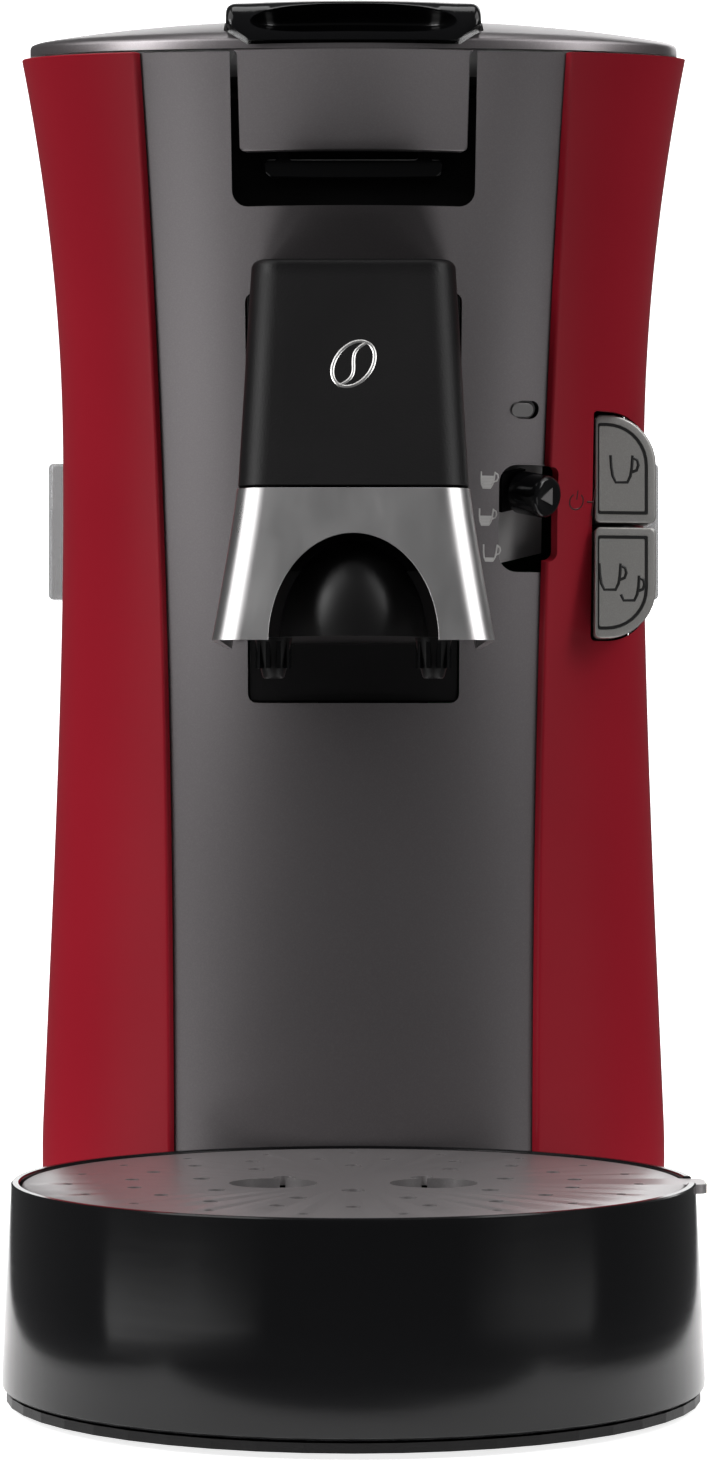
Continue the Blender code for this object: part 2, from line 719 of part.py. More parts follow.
def make_lid(axis):
    """Domed lid, its hanging front tongue, inner lid, seal and water distribution disc."""
    lid = shell("lid_shell", lid_rows(LID_INSET, 0.0), lid_rows(LID_INSET + 0.0020, 0.0020), GREY, domed=True)
    seat = front_profile("handle_seat", handle_front(0.0006), -0.06, -0.0108)
    arms = block("arm_slot", (-0.0185, -0.0150, 0.2800), (0.0185, -0.0050, 0.3100))
    cut(lid, seat, arms)
    skins = []
    for inset in (SKIN_STEP, SKIN_STEP + 0.0022):
        rows = []
        for z, half in ((TONGUE_LOW, 0.0260), (0.2755, 0.0261), (0.2830, 0.0262), (0.2900, 0.0263),
                        (0.2902, 0.0310), (0.2914, 0.0310)):
            limit = math.asin(half / half_width(z))
            rows.append([plan_point(z, angle, inset) for angle in spread(-limit, limit, 11)])
        skins.append(rows)
    join(lid, shell("lid_tongue", *skins))
    inner_plan = rounded_outline((-0.058, -0.0036), (0.058, 0.0680), 0.012)
    inner = prism("lid_inner", inner_plan, 0.2866, 0.2892, BLACK_SATIN)
    seal = turned("lid_seal", [(0.0300, 0.0863), (0.0335, 0.0863), (0.0335, 0.0843), (0.0300, 0.0843)],
                  (0.0, BREW_Y, 0.2), RUBBER, FINE_STEPS, ring=True)
    disc = turned("distribution_disc", [
        (0.0, 0.0863), (0.0265, 0.0863), (0.0265, 0.0840), (0.0060, 0.0836), (0.0, 0.0836)],
        (0.0, BREW_Y, 0.2), STEEL, TURN_STEPS)
    barrel = rod("lid_hinge_barrel", HINGE - Vector((0.012, 0, 0)), HINGE + Vector((0.012, 0, 0)),
                 0.0024, GREY, 16)
    bore = rod("barrel_bore", HINGE - Vector((0.02, 0, 0)), HINGE + Vector((0.02, 0, 0)), 0.0015, None, 14)
    cut(barrel, bore)
    pin = rod("lever_pin", LEVER_AXIS - Vector((0.0195, 0, 0)), LEVER_AXIS + Vector((0.0195, 0, 0)),
              0.0011, STEEL, 12)
    carry(axis, lid, inner, seal, disc, barrel, pin)


def make_hinge():
    """Steel hinge pin held by two brackets on the top deck."""
    rod("lid_hinge_pin", HINGE - Vector((0.0205, 0, 0)), HINGE + Vector((0.0205, 0, 0)), 0.0011, STEEL, 12)
    for side, name in ((-1, "left"), (1, "right")):
        near = min(side * 0.0130, side * 0.0185)
        bracket = block("hinge_bracket_" + name, (near, 0.0730, DECK_TOP + GAP),
                        (near + 0.0055, 0.0774, 0.2960), BLACK_SATIN)
        bore = rod("bracket_bore_" + name, HINGE - Vector((0.03, 0, 0)), HINGE + Vector((0.03, 0, 0)),
                   0.0014, None, 14)
        cut(bracket, bore)


def make_lever(axis):
    """Lid lever: a handle with a finger pocket, and the latch that hangs behind the tongue."""
    outline = [(-0.0385, 0.2917), (-0.0143, 0.2917), (-0.0143, 0.3005), (-0.0175, 0.3012), (-0.0300, 0.3015),
               (-0.0345, 0.3006), (-0.0375, 0.2970), (-0.0388, 0.2935)]
    handle = side_profile("lever_handle", outline, HANDLE_HALF, BLACK)
    rounding = handle.modifiers.new("rounding", "BEVEL")
    rounding.width = 0.0014
    rounding.segments = 2
    rounding.angle_limit = math.radians(50)
    trims = []
    for side in (-1, 1):
        inner = side * (HANDLE_HALF - HANDLE_CORNER)
        beyond = side * (HANDLE_HALF + 0.0023)
        shoulder = HANDLE_LOW + CORNER_RISE
        corner = [(inner, HANDLE_LOW - 0.0017), (inner, HANDLE_LOW), (side * HANDLE_HALF, shoulder),
                  (beyond, shoulder), (beyond, HANDLE_LOW - 0.0017)]
        trims.append(front_profile("handle_trim", corner, -0.06, 0.0))
    pocket = capsule_cutter("finger_pocket", (0.0, -0.0368, 0.2970), 0.0260, (0.0085, 0.0038))
    cut(handle, pocket, *trims)
    latch = block("lever_latch", (-0.0200, -0.0140, 0.2650), (0.0200, -0.0085, 0.2692), BLACK)
    for side in (-1, 1):
        near = min(side * 0.0140, side * 0.0172)
        arm = block("latch_arm", (near, -0.0140, 0.2665), (near + 0.0032, -0.0085, 0.2960))
        join(latch, arm)
    bore = rod("latch_bore", LEVER_AXIS - Vector((0.03, 0, 0)), LEVER_AXIS + Vector((0.03, 0, 0)),
               0.0014, None, 14)
    cut(latch, bore)
    carry(axis, handle, latch)


def knob_frame():
    """Place of the knob: -Y is its axis, forward and to the right, and Z follows the leaning front."""
    up = Vector((0.0, -KNOB_LEAN, 1.0)).normalized()
    outward = Vector((math.sin(KNOB_TURN), -math.cos(KNOB_TURN), 0.0))
    outward = (outward - outward.dot(up) * up).normalized()
    across = up.cross(outward)
    turn = Matrix((across, -outward, up)).transposed()
    return Matrix.Translation(KNOB_BASE) @ turn.to_4x4()


def knob_block(name, low, high, finish=None):
    """A box in the knob's own directions: X across, -Y outwards, Z up."""
    shape = bmesh.new()
    bmesh.ops.create_cube(shape, size=1.0)
    size = Vector(high) - Vector(low)
    middle = (Vector(high) + Vector(low)) / 2
    bmesh.ops.scale(shape, vec=size, verts=shape.verts)
    bmesh.ops.translate(shape, vec=middle, verts=shape.verts)
    piece = mesh_object(name, shape, finish, smooth=False)
    piece.matrix_world = knob_frame()
    return piece


def make_knob(slide_axis, push_axis):
    """Strength knob that slides in a black track and pushes in to switch on."""
    outward = knob_frame().to_3x3() @ Vector((0.0, -1.0, 0.0))
    knob = rod("strength_knob", KNOB_BASE, KNOB_BASE + KNOB_LENGTH * outward, KNOB_RADIUS, BLACK, 24)
    rounding = knob.modifiers.new("rounding", "BEVEL")
    rounding.width = 0.0006
    rounding.segments = 2
    rounding.angle_limit = math.radians(50)
    carriage = knob_block("slider_carriage", (-0.0040, 0.0024, -0.0045),
                          (0.0040, 0.0040, 0.0045), BLACK_SATIN)
    knob_block("slider_track", (-0.0050, 0.0047, -0.0165), (0.0050, 0.0062, 0.0070), BLACK_SATIN)
    carry(slide_axis, carriage)
    carry(push_axis, knob)


def make_light():
    """Small grey lens of the descale light, let into the front panel."""
    block("descale_light", (0.0353, 0.0105, 0.2136), (0.0411, 0.0130, 0.2170), LENS, 0.0010, LIGHT_TURN)


def make_buttons(axes):
    """One-cup and two-cup buttons, their switches and the carrier behind them."""
    outline = [(0.0556, 0.0209), (0.0686, 0.0241), (0.0699, 0.0256), (0.0699, 0.0440), (0.0640, 0.0440),
               (0.0556, 0.0330)]
    spans = {"one_cup": (BUTTON_SPLIT + 0.0005, BUTTON_HIGH), "two_cup": (BUTTON_LOW, BUTTON_SPLIT - 0.0005)}
    for name, (low, high) in spans.items():
        button = prism(name + "_button", outline, low, high, BUTTON_GREY)
        rounding = button.modifiers.new("rounding", "BEVEL")
        rounding.width = 0.0006
        rounding.segments = 2
        carry(axes[name], button)
        middle = (low + high) / 2
        block(name + "_switch", (0.0520, 0.0465, middle - 0.003), (0.0600, 0.0500, middle + 0.003), BLACK)
    block("button_carrier", (0.0480, 0.0503, 0.1600), (0.0620, 0.0525, 0.2180), BLACK_SATIN)


def make_tray(slide_axis, lift_axis):
    """Drip tray drum, its perforated cover with two drain holes, and the cover's side tab."""
    rim = TRAY_TOP_RADIUS
    tray = turned("drip_tray", [
        (0.0, 0.0058), (rim - 0.0052, 0.0058), (rim - 0.0052, 0.0438), (rim - 0.0018, 0.0440),
        (rim - 0.0018, TRAY_TOP), (rim - 0.0002, TRAY_TOP), (rim, TRAY_TOP - 0.0006),
        (0.5 * (rim + TRAY_BASE_RADIUS), 0.0260), (TRAY_BASE_RADIUS, 0.0050),
        (TRAY_BASE_RADIUS - 0.0004, TRAY_LOW), (0.0, TRAY_LOW)],
        (0.0, TRAY_Y, 0.0), BLACK, 64)
    back = block("tray_back_cut", (-0.09, TRAY_BACK, -0.01), (0.09, 0.06, 0.09))
    notch = block("tab_notch", (0.0690, TRAY_Y - 0.0064, 0.0436), (0.09, TRAY_Y + 0.0064, 0.06))
    cut(tray, back, notch)
    cover = rod("tray_cover", (0.0, TRAY_Y, COVER_TOP - COVER_THICK), (0.0, TRAY_Y, COVER_TOP),
                COVER_RADIUS, TRAY_GREY, 64)
    tab = block("cover_tab", (0.0680, TRAY_Y - 0.0060, COVER_TOP - COVER_THICK),
                (0.0748, TRAY_Y + 0.0060, COVER_TOP))
    join(cover, tab)
    for side in (-1, 1):
        drain = rod("drain_hole", (side * DRAIN_X, DRAIN_Y, 0.03), (side * DRAIN_X, DRAIN_Y, 0.06),
                    DRAIN_RADIUS, None, 24)
        cut(cover, drain)
    carry(slide_axis, tray)
    carry(lift_axis, cover)


def make_tank(axis, lid_axis, float_axis):
    """Lift-off water tank with side grips, a hinged lid, an outlet valve and a level float."""
    low = (-TANK_HALF, TANK_FRONT)
    high = (TANK_HALF, TANK_BACK)
    tank = prism("water_tank", rounded_outline(low, high, 0.012), TANK_LOW, TANK_TOP, CLEAR)
    for side, name in ((-1, "left"), (1, "right")):
        near = min(side * 0.0640, side * GRIP_REACH)
        grip = block("tank_grip_" + name, (near, TANK_FRONT, GRIP_LOW),
                     (near + GRIP_REACH - 0.0640, 0.0980, GRIP_HIGH), None, 0.0015)
        join(tank, grip)
    hollow = prism("tank_hollow", rounded_outline(
        (low[0] + WALL, low[1] + WALL), (high[0] - WALL, high[1] - WALL), 0.010), TANK_LOW + WALL, 0.30)
    outlet = rod("tank_outlet", (0.0, SEAT_Y, 0.0), (0.0, SEAT_Y, 0.03), 0.0063, None, 16)
    cut(tank, hollow, outlet)
    lid = prism("tank_lid", rounded_outline(low, high, 0.012), TANK_TOP + GAP, 0.2822, BLACK_SATIN)
    valve = turned("tank_valve", [
        (0.0, 0.0260), (0.0050, 0.0250), (0.0050, 0.0190), (0.0080, 0.0185), (0.0080, 0.0166),
        (0.0058, 0.0166), (0.0058, 0.0130), (0.0, 0.0130)], (0.0, SEAT_Y, 0.0), RUBBER, 16)
    ball = block("tank_float", (0.0340, 0.0950, 0.0170), (0.0520, 0.1160, 0.0290), RED, 0.0015)
    carry(axis, tank, valve)
    carry(lid_axis, lid)
    carry(float_axis, ball)
    turned("tank_seat", [(0.0, 0.0125), (0.0078, 0.0125), (0.0090, 0.0110), (0.0090, 0.0036), (0.0, 0.0036)],
           (0.0, SEAT_Y, 0.0), RUBBER, 18)


def make_works():
    """Boiler, pump, hoses and control board inside the column."""
    boiler_x = -0.030
    boiler_y = 0.050
    turned("boiler", [
        (0.0, 0.0850), (0.0120, 0.0840), (0.0190, 0.0790), (0.0215, 0.0700), (0.0215, 0.0150),
        (0.0190, 0.0060), (0.0120, 0.0010), (0.0, 0.0)], (boiler_x, boiler_y, 0.130), BOILER_STEEL)
    turned("boiler_strap", [(0.0218, 0.0480), (0.0230, 0.0480), (0.0230, 0.0380), (0.0218, 0.0380)],
           (boiler_x, boiler_y, 0.130), STEEL, TURN_STEPS, ring=True)
    rod("thermostat", (boiler_x, boiler_y, 0.2153), (boiler_x, boiler_y, 0.2213), 0.0080, BLACK, 18)
    block("thermal_fuse", (-0.0145, 0.0640, 0.2160), (-0.0075, 0.0670, 0.2260), LENS)
    pump_x = 0.030
    pump_y = 0.054
    turned("pump", [
        (0.0, 0.0900), (0.0050, 0.0900), (0.0050, 0.0780), (0.0150, 0.0760), (0.0150, 0.0500),
        (0.0170, 0.0490), (0.0170, 0.0220), (0.0150, 0.0210), (0.0150, 0.0130), (0.0, 0.0130)],
        (pump_x, pump_y, 0.010), BLACK_SATIN)
    block("pump_bracket", (0.0120, 0.0380, 0.0066), (0.0480, 0.0700, 0.0226), RUBBER, 0.0020)
    hose("tank_hose", [(0.0, 0.0962, 0.0078), (0.0, 0.0850, 0.0078), (0.0, 0.0700, 0.0094),
                       (0.0040, 0.0600, 0.0120), (0.0090, 0.0545, 0.0160)], 0.0026, PALE_HOSE)
    hose("pump_hose", [(pump_x, pump_y, 0.1010), (pump_x, pump_y, 0.1110), (0.0100, 0.0530, 0.1180),
                       (-0.0180, 0.0510, 0.1160), (boiler_x, boiler_y, 0.1220),
                       (boiler_x, boiler_y, 0.1297)], 0.0026, PALE_HOSE)
    hose("brew_hose", [(-0.0470, 0.0695, 0.1600), (-0.0540, 0.0660, 0.1900), (-0.0520, 0.0610, 0.2300),
                       (-0.0520, 0.0610, 0.2700), (-0.0520, 0.0610, 0.2855)], 0.0026, PALE_HOSE)
    block("control_board", (0.0180, 0.0680, 0.1180), (0.0540, 0.0696, 0.2100), BOARD_GREEN)
    for side, name in ((-1, "left"), (1, "right")):
        x = 0.0360 + side * 0.0150
        rod("board_screw_" + name, (x, 0.0677, 0.2040), (x, 0.0657, 0.2040), 0.0022, STEEL, 10)


KNOB_SLOT = knob_block("knob_slot", (-SLOT_HALF, -0.020, -0.0172), (SLOT_HALF, 0.020, 0.0075))
lid_pivot = pivot("lid_hinge_axis", HINGE)
lever_pivot = pivot("lever_axis", LEVER_AXIS, lid_pivot)
tray_pivot = pivot("tray_slide_axis", (0.0, TRAY_Y, TRAY_LOW))
cover_pivot = pivot("cover_lift_axis", (0.0, TRAY_Y, COVER_TOP), tray_pivot)
tank_pivot = pivot("tank_lift_axis", (0.0, SEAT_Y, TANK_LOW))
tank_lid_pivot = pivot("tank_lid_axis", (0.0, TANK_BACK - 0.0015, TANK_TOP + 0.0065), tank_pivot)
float_pivot = pivot("float_axis", (0.0430, SEAT_Y, 0.0170), tank_pivot)
spout_pivot = pivot("spout_pull_axis", (0.0, NOZZLE_Y, SPOUT_LOW))
knob_slide_pivot = pivot("strength_slide_axis", KNOB_BASE)
knob_push_pivot = pivot("knob_push_axis", KNOB_BASE, knob_slide_pivot)
button_pivots = {
    "one_cup": pivot("one_cup_axis", (0.062, 0.0209, 0.2027)),
    "two_cup": pivot("two_cup_axis", (0.062, 0.0209, 0.1765))}

make_base()
make_front_panel()
make_side_panel(-1, "side_panel_left")
make_side_panel(1, "side_panel_right")
make_rear_panel()
make_frame()
make_latch_well()
make_brewing()
make_dock()
make_spout(spout_pivot)
make_lid(lid_pivot)
make_hinge()
make_lever(lever_pivot)
make_knob(knob_slide_pivot, knob_push_pivot)
make_light()
make_buttons(button_pivots)
make_tray(tray_pivot, cover_pivot)
make_tank(tank_pivot, tank_lid_pivot, float_pivot)
make_works()
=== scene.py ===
"""A pod coffee machine on a pale studio floor, dressed piece by piece in the order it is put together."""
import math

import bmesh
import bpy
from mathutils import Matrix, Vector


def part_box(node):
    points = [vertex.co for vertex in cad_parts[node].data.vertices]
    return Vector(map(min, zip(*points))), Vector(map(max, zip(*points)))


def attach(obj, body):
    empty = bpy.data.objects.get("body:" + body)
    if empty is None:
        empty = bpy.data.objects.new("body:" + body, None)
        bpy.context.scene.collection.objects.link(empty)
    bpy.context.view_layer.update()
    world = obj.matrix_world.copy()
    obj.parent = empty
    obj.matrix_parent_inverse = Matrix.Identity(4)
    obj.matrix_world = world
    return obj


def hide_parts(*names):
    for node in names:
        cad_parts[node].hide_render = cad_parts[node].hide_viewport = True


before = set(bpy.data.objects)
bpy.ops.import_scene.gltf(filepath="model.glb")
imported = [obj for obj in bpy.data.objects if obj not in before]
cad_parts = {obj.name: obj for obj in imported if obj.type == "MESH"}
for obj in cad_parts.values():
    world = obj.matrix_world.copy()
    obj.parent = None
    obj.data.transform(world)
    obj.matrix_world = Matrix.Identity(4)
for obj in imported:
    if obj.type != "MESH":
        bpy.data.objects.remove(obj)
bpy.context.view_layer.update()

# Camera: straight in front and level with the middle of the machine, with a long lens
# so that the upright edges stay upright and the tray's top shows as a thin ellipse.
CAMERA_PLACE = (0.0, -0.9425, 0.1423)
LENS = 103.05
camera = bpy.data.objects.new("camera", bpy.data.cameras.new("camera"))
camera.data.lens = LENS
camera.data.sensor_width = 36.0
camera.data.clip_start = 0.01
camera.location = CAMERA_PLACE
camera.rotation_euler = (math.radians(90), 0.0, 0.0)
bpy.context.scene.collection.objects.link(camera)
bpy.context.scene.camera = camera
bpy.context.scene.view_settings.view_transform = "Standard"


# Surfaces: every piece is moulded, plated or painted, so each finish is a Principled shader
# with its own grain, gloss variation and fine relief. Signal lets shader sums read as sums.
class Signal:
    """A value running between shader nodes; sums on it add Math nodes."""

    def __init__(self, surface, socket):
        self.surface = surface
        self.socket = socket

    def maths(self, operation, first, second):
        return self.surface.node("ShaderNodeMath", {"operation": operation}, {0: first, 1: second})

    def __add__(self, other):
        return self.maths("ADD", self, other)

    def __sub__(self, other):
        return self.maths("SUBTRACT", self, other)

    def __rsub__(self, other):
        return self.maths("SUBTRACT", other, self)

    def __mul__(self, other):
        return self.maths("MULTIPLY", self, other)

    __radd__ = __add__
    __rmul__ = __mul__


class Surface:
    """One finish: a Principled shader, its constants and the nodes that vary it."""

    def __init__(self, name, colour, roughness, metallic=0.0, **constants):
        self.material = bpy.data.materials.new(name)
        self.material.use_nodes = True
        self.tree = self.material.node_tree
        self.shader = self.tree.nodes["Principled BSDF"]
        self.colour = (*colour, 1.0)
        self.put("Base Color", self.colour)
        self.put("Roughness", roughness)
        self.put("Metallic", metallic)
        for socket, value in constants.items():
            self.put(socket.replace("_", " ").title().replace("Ior", "IOR"), value)

    def feed(self, socket, value):
        if isinstance(value, Signal):
            self.tree.links.new(value.socket, socket)
        else:
            socket.default_value = value

    def put(self, socket, value):
        self.feed(self.shader.inputs[socket], value)

    def node(self, kind, settings, inputs, output=0):
        made = self.tree.nodes.new(kind)
        for key, value in settings.items():
            setattr(made, key, value)
        for key, value in inputs.items():
            self.feed(made.inputs[key], value)
        return Signal(self, made.outputs[output])

    def place(self, stretch=(1.0, 1.0, 1.0)):
        where = self.node("ShaderNodeTexCoord", {}, {}, "Object")
        return self.node("ShaderNodeMapping", {}, {"Vector": where, "Scale": stretch})

    def grain(self, scale, detail=3.0, stretch=(1.0, 1.0, 1.0)):
        return self.node("ShaderNodeTexNoise", {}, {
            "Vector": self.place(stretch), "Scale": scale, "Detail": detail, "Roughness": 0.55})

    def shade(self, amount, darker, lighter):
        """Blend the base colour between a darker and a lighter version of itself."""
        ends = []
        for factor in (darker, lighter):
            ends.append((*(channel * factor for channel in self.colour[:3]), 1.0))
        return self.node("ShaderNodeMix", {"data_type": "RGBA"}, {0: amount, 6: ends[0], 7: ends[1]}, 2)

    def relief(self, height, strength, depth):
        self.put("Normal", self.node("ShaderNodeBump", {}, {
            "Height": height, "Strength": strength, "Distance": depth}))


def moulded_plastic(name, colour, roughness, peel=0.10):
    """Glossy moulding: faint flow marks, orange peel and a few hairline polishing scratches."""
    surface = Surface(name, colour, roughness)
    cloud = surface.grain(14.0, 2.0)
    rubbed = surface.grain(30.0, 6.0, (1.0, 1.0, 14.0))
    surface.put("Base Color", surface.shade(cloud, 0.90, 1.10))
    surface.put("Roughness", roughness + (cloud - 0.5) * 0.10 + (rubbed - 0.5) * 0.08)
    surface.relief(surface.grain(420.0, 2.0) * 0.6 + rubbed * 0.4, peel, 0.00012)
    return surface


def textured_plastic(name, colour, roughness, scale=2200.0, depth=0.35):
    """Spark-eroded satin moulding: an even fine grain with handling wear in its gloss."""
    surface = Surface(name, colour, roughness)
    wear = surface.grain(22.0, 5.0)
    grit = surface.node("ShaderNodeTexVoronoi", {}, {"Vector": surface.place(), "Scale": scale})
    surface.put("Base Color", surface.shade(wear, 0.80, 1.25))
    surface.put("Roughness", roughness + (wear - 0.5) * 0.18)
    surface.relief(grit + surface.grain(scale * 0.4), depth, 0.00006)
    surface.put("Specular IOR Level", 0.26)
    return surface


def metallic_paint(name, colour, roughness, metallic, coat=0.25):
    """Silver-grey lacquer: aluminium flake under a thin clear coat."""
    surface = Surface(name, colour, roughness, metallic, coat_weight=coat, coat_roughness=0.22)
    flake = surface.node("ShaderNodeTexVoronoi", {}, {"Vector": surface.place(), "Scale": 3200.0})
    cloud = surface.grain(9.0, 3.0)
    surface.put("Base Color", surface.shade(flake * 0.6 + cloud * 0.4, 0.86, 1.16))
    surface.put("Roughness", roughness + (cloud - 0.5) * 0.10 + (flake - 0.5) * 0.05)
    surface.relief(flake * 0.5 + surface.grain(600.0) * 0.5, 0.10, 0.00008)
    return surface


def drawn_metal(name, colour, roughness, stretch=(1.0, 1.0, 30.0), scale=90.0):
    """Bare or plated metal with fine lines along its working direction and cloudy wiping marks."""
    surface = Surface(name, colour, roughness, 1.0)
    lines = surface.grain(scale, 5.0, stretch)
    cloud = surface.grain(25.0, 3.0)
    surface.put("Base Color", surface.shade(cloud, 0.90, 1.06))
    surface.put("Roughness", roughness + (lines - 0.5) * 0.14 + (cloud - 0.5) * 0.08)
    surface.relief(lines, 0.08, 0.00006)
    return surface


black_satin = textured_plastic("black_satin", (0.0055, 0.0052, 0.0055), 0.40)
black_satin.put("Specular IOR Level", 0.17)
black_gloss = moulded_plastic("black_gloss", (0.0045, 0.0045, 0.005), 0.15, 0.06)
black_gloss.put("Specular IOR Level", 0.30)
dark_rubber = textured_plastic("dark_rubber", (0.016, 0.016, 0.016), 0.75, 900.0, 0.5)


def dress(surface, *nodes):
    """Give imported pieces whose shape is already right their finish."""
    for name in nodes:
        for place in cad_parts[name].material_slots:
            place.material = surface.material


# Studio: a pale sweep under and behind the machine, tall soft lights on both sides that draw the
# upright highlights, and a wide one above. The room itself is left dim so that gloss stays deep.
def softbox(name, place, aim, size, power):
    """A rectangular lamp at a place, turned to its aim."""
    lamp = bpy.data.lights.new(name, "AREA")
    lamp.shape = "RECTANGLE"
    lamp.size, lamp.size_y = size
    lamp.energy = power
    light = bpy.data.objects.new(name, lamp)
    light.location = place
    light.rotation_euler = (Vector(aim) - Vector(place)).to_track_quat("-Z", "Y").to_euler()
    bpy.context.scene.collection.objects.link(light)


softbox("left_light", (-0.95, -0.62, 0.72), (0.0, 0.0, 0.20), (0.34, 0.80), 7.6)
softbox("right_light", (0.98, -0.55, 0.68), (0.0, 0.0, 0.20), (0.26, 0.76), 3.7)
softbox("left_upper_light", (-0.62, -0.30, 0.92), (0.0, -0.05, 0.18), (0.86, 0.80), 5.0)
softbox("right_upper_light", (0.66, -0.26, 0.88), (0.0, -0.05, 0.18), (0.64, 0.66), 3.6)
softbox("top_light", (0.0, 0.10, 1.30), (0.0, 0.02, 0.20), (0.6, 0.5), 3.0)
softbox("rear_light", (0.5, 1.2, 0.9), (0.0, 0.0, 0.2), (0.8, 0.8), 5.0)
softbox("left_table_glow", (-0.36, -0.30, 0.004), (-0.36, -0.30, 1.0), (0.30, 0.36), 0.55)
softbox("right_table_glow", (0.40, -0.30, 0.004), (0.40, -0.30, 1.0), (0.28, 0.32), 0.28)
world = bpy.data.worlds.new("studio")
world.use_nodes = True
room = world.node_tree.nodes["Background"].inputs
room[0].default_value = (0.86, 0.87, 0.88, 1.0)
room[1].default_value = 0.10
bpy.context.scene.world = world

def link_mesh(name, shape, surface, turn_out=True):
    """Turn a bmesh into a smooth-shaded object at the origin."""
    if turn_out:
        bmesh.ops.recalc_face_normals(shape, faces=shape.faces)
    mesh = bpy.data.meshes.new(name)
    shape.to_mesh(mesh)
    shape.free()
    mesh.shade_smooth()
    mesh.set_sharp_from_angle(angle=SHARP)
    if surface:
        mesh.materials.append(surface.material)
    piece = bpy.data.objects.new(name, mesh)
    bpy.context.scene.collection.objects.link(piece)
    return piece


SHARP = math.radians(38)
SWEEP_HALF = 0.16
SWEEP_START = -0.18
SWEEP_BEND = 0.15
SWEEP_BACK = 0.60
sweep_paper = Surface("sweep_paper", (0.86, 0.86, 0.86), 0.7, emission_color=(1.0, 1.0, 1.0, 1.0),
                      emission_strength=0.80)
sweep_paper.put("Base Color", sweep_paper.shade(sweep_paper.grain(40.0), 0.97, 1.03))
shape = bmesh.new()
profile = [(SWEEP_START, 0.0), (SWEEP_BACK - SWEEP_BEND, 0.0)]
for step in range(1, 9):
    bend = math.radians(90) * step / 8
    profile.append((SWEEP_BACK - SWEEP_BEND * (1 - math.sin(bend)), SWEEP_BEND * (1 - math.cos(bend))))
profile.append((SWEEP_BACK, 0.75))
edges = [[shape.verts.new((x, y, z - 0.0001)) for y, z in profile] for x in (-SWEEP_HALF, SWEEP_HALF)]
for step in range(len(profile) - 1):
    shape.faces.new((edges[0][step], edges[1][step], edges[1][step + 1], edges[0][step + 1]))
sweep = link_mesh("studio_sweep", shape, sweep_paper, turn_out=False)


# Base plate and feet: a flat black moulding that carries the column, the tank plinth and the
# tray, standing on four pressed-in rubber feet.
def settle(piece):
    """Bake a piece's modifiers and its place into a plain mesh at the origin."""
    bpy.context.view_layer.update()
    graph = bpy.context.evaluated_depsgraph_get()
    baked = bpy.data.meshes.new_from_object(piece.evaluated_get(graph), preserve_all_data_layers=True,
                                            depsgraph=graph)
    baked.transform(piece.matrix_world)
    piece.modifiers.clear()
    piece.data = baked
    piece.matrix_world = Matrix.Identity(4)
    return piece


def round_edges(piece, width, segments=3, angle=35.0):
    """Break a piece's sharp edges, as any moulding tool leaves them."""
    rounding = piece.modifiers.new("rounding", "BEVEL")
    rounding.width = width
    rounding.segments = segments
    rounding.limit_method = "ANGLE"
    rounding.angle_limit = math.radians(angle)
    rounding.harden_normals = True
    rounding.miter_outer = "MITER_ARC"


def carve(piece, tools, operation="DIFFERENCE"):
    """Take every tool out of a piece, or weld it on, and put the tools away."""
    for tool in tools:
        change = piece.modifiers.new("carve", "BOOLEAN")
        change.operation = operation
        change.object = tool
        change.solver = "EXACT"
    settle(piece)
    for tool in tools:
        bpy.data.objects.remove(tool, do_unlink=True)
    piece.data.shade_smooth()
    piece.data.set_sharp_from_angle(angle=SHARP)


def spread(start, end, count):
    """Evenly spaced values from start to end, both included."""
    return [start + (end - start) * step / (count - 1) for step in range(count)]


def turned(name, profile, centre, surface, steps=96):
    """A turned piece from (radius, height) points down its outer side."""
    shape = bmesh.new()
    rings = []
    for radius, height in profile:
        if radius < 1e-6:
            rings.append([shape.verts.new((0.0, 0.0, height))])
        else:
            rings.append([shape.verts.new((radius * math.cos(turn), radius * math.sin(turn), height))
                          for turn in spread(0.0, 2 * math.pi * (steps - 1) / steps, steps)])
    pairs = list(zip(rings, rings[1:]))
    if len(rings[0]) > 1 and len(rings[-1]) > 1:
        pairs.append((rings[-1], rings[0]))
    for upper, lower in pairs:
        for step in range(steps):
            after = (step + 1) % steps
            corners = [upper[step % len(upper)], lower[step % len(lower)],
                       lower[after % len(lower)], upper[after % len(upper)]]
            shape.faces.new(list(dict.fromkeys(corners)))
    bmesh.ops.translate(shape, vec=Vector(centre), verts=shape.verts)
    return link_mesh(name, shape, surface)


def rounded_rectangle(low, high, radii, steps=8):
    """Outline with its own radius at each corner: lower left, lower right, upper right, upper left."""
    corners = ((low[0], low[1], 1, 1, 180), (high[0], low[1], -1, 1, 270),
               (high[0], high[1], -1, -1, 0), (low[0], high[1], 1, -1, 90))
    points = []
    for (x, y, inward_x, inward_y, start), radius in zip(corners, radii):
        for angle in spread(start, start + 90, steps):
            turn = math.radians(angle)
            points.append((x + inward_x * radius + radius * math.cos(turn),
                           y + inward_y * radius + radius * math.sin(turn)))
    return points


def stack(name, loops, surface, hoop=False):
    """A closed solid through a stack of closed loops; a hoop's last loop meets its first instead of a cap."""
    shape = bmesh.new()
    rings = [[shape.verts.new(point) for point in loop] for loop in loops]
    count = len(rings[0])
    for lower, upper in zip(rings, rings[1:] + (rings[:1] if hoop else [])):
        for step in range(count):
            after = (step + 1) % count
            shape.faces.new((lower[step], lower[after], upper[after], upper[step]))
    if not hoop:
        shape.faces.new(list(reversed(rings[0])))
        shape.faces.new(rings[-1])
    return link_mesh(name, shape, surface)


def slab(name, outline, start, end, surface=None, along="Z"):
    """An outline carried along Z, or along Y with the outline in X and Z."""
    loops = [[(x, y, level) if along == "Z" else (x, level, y) for x, y in outline] for level in (start, end)]
    return stack(name, loops, surface)


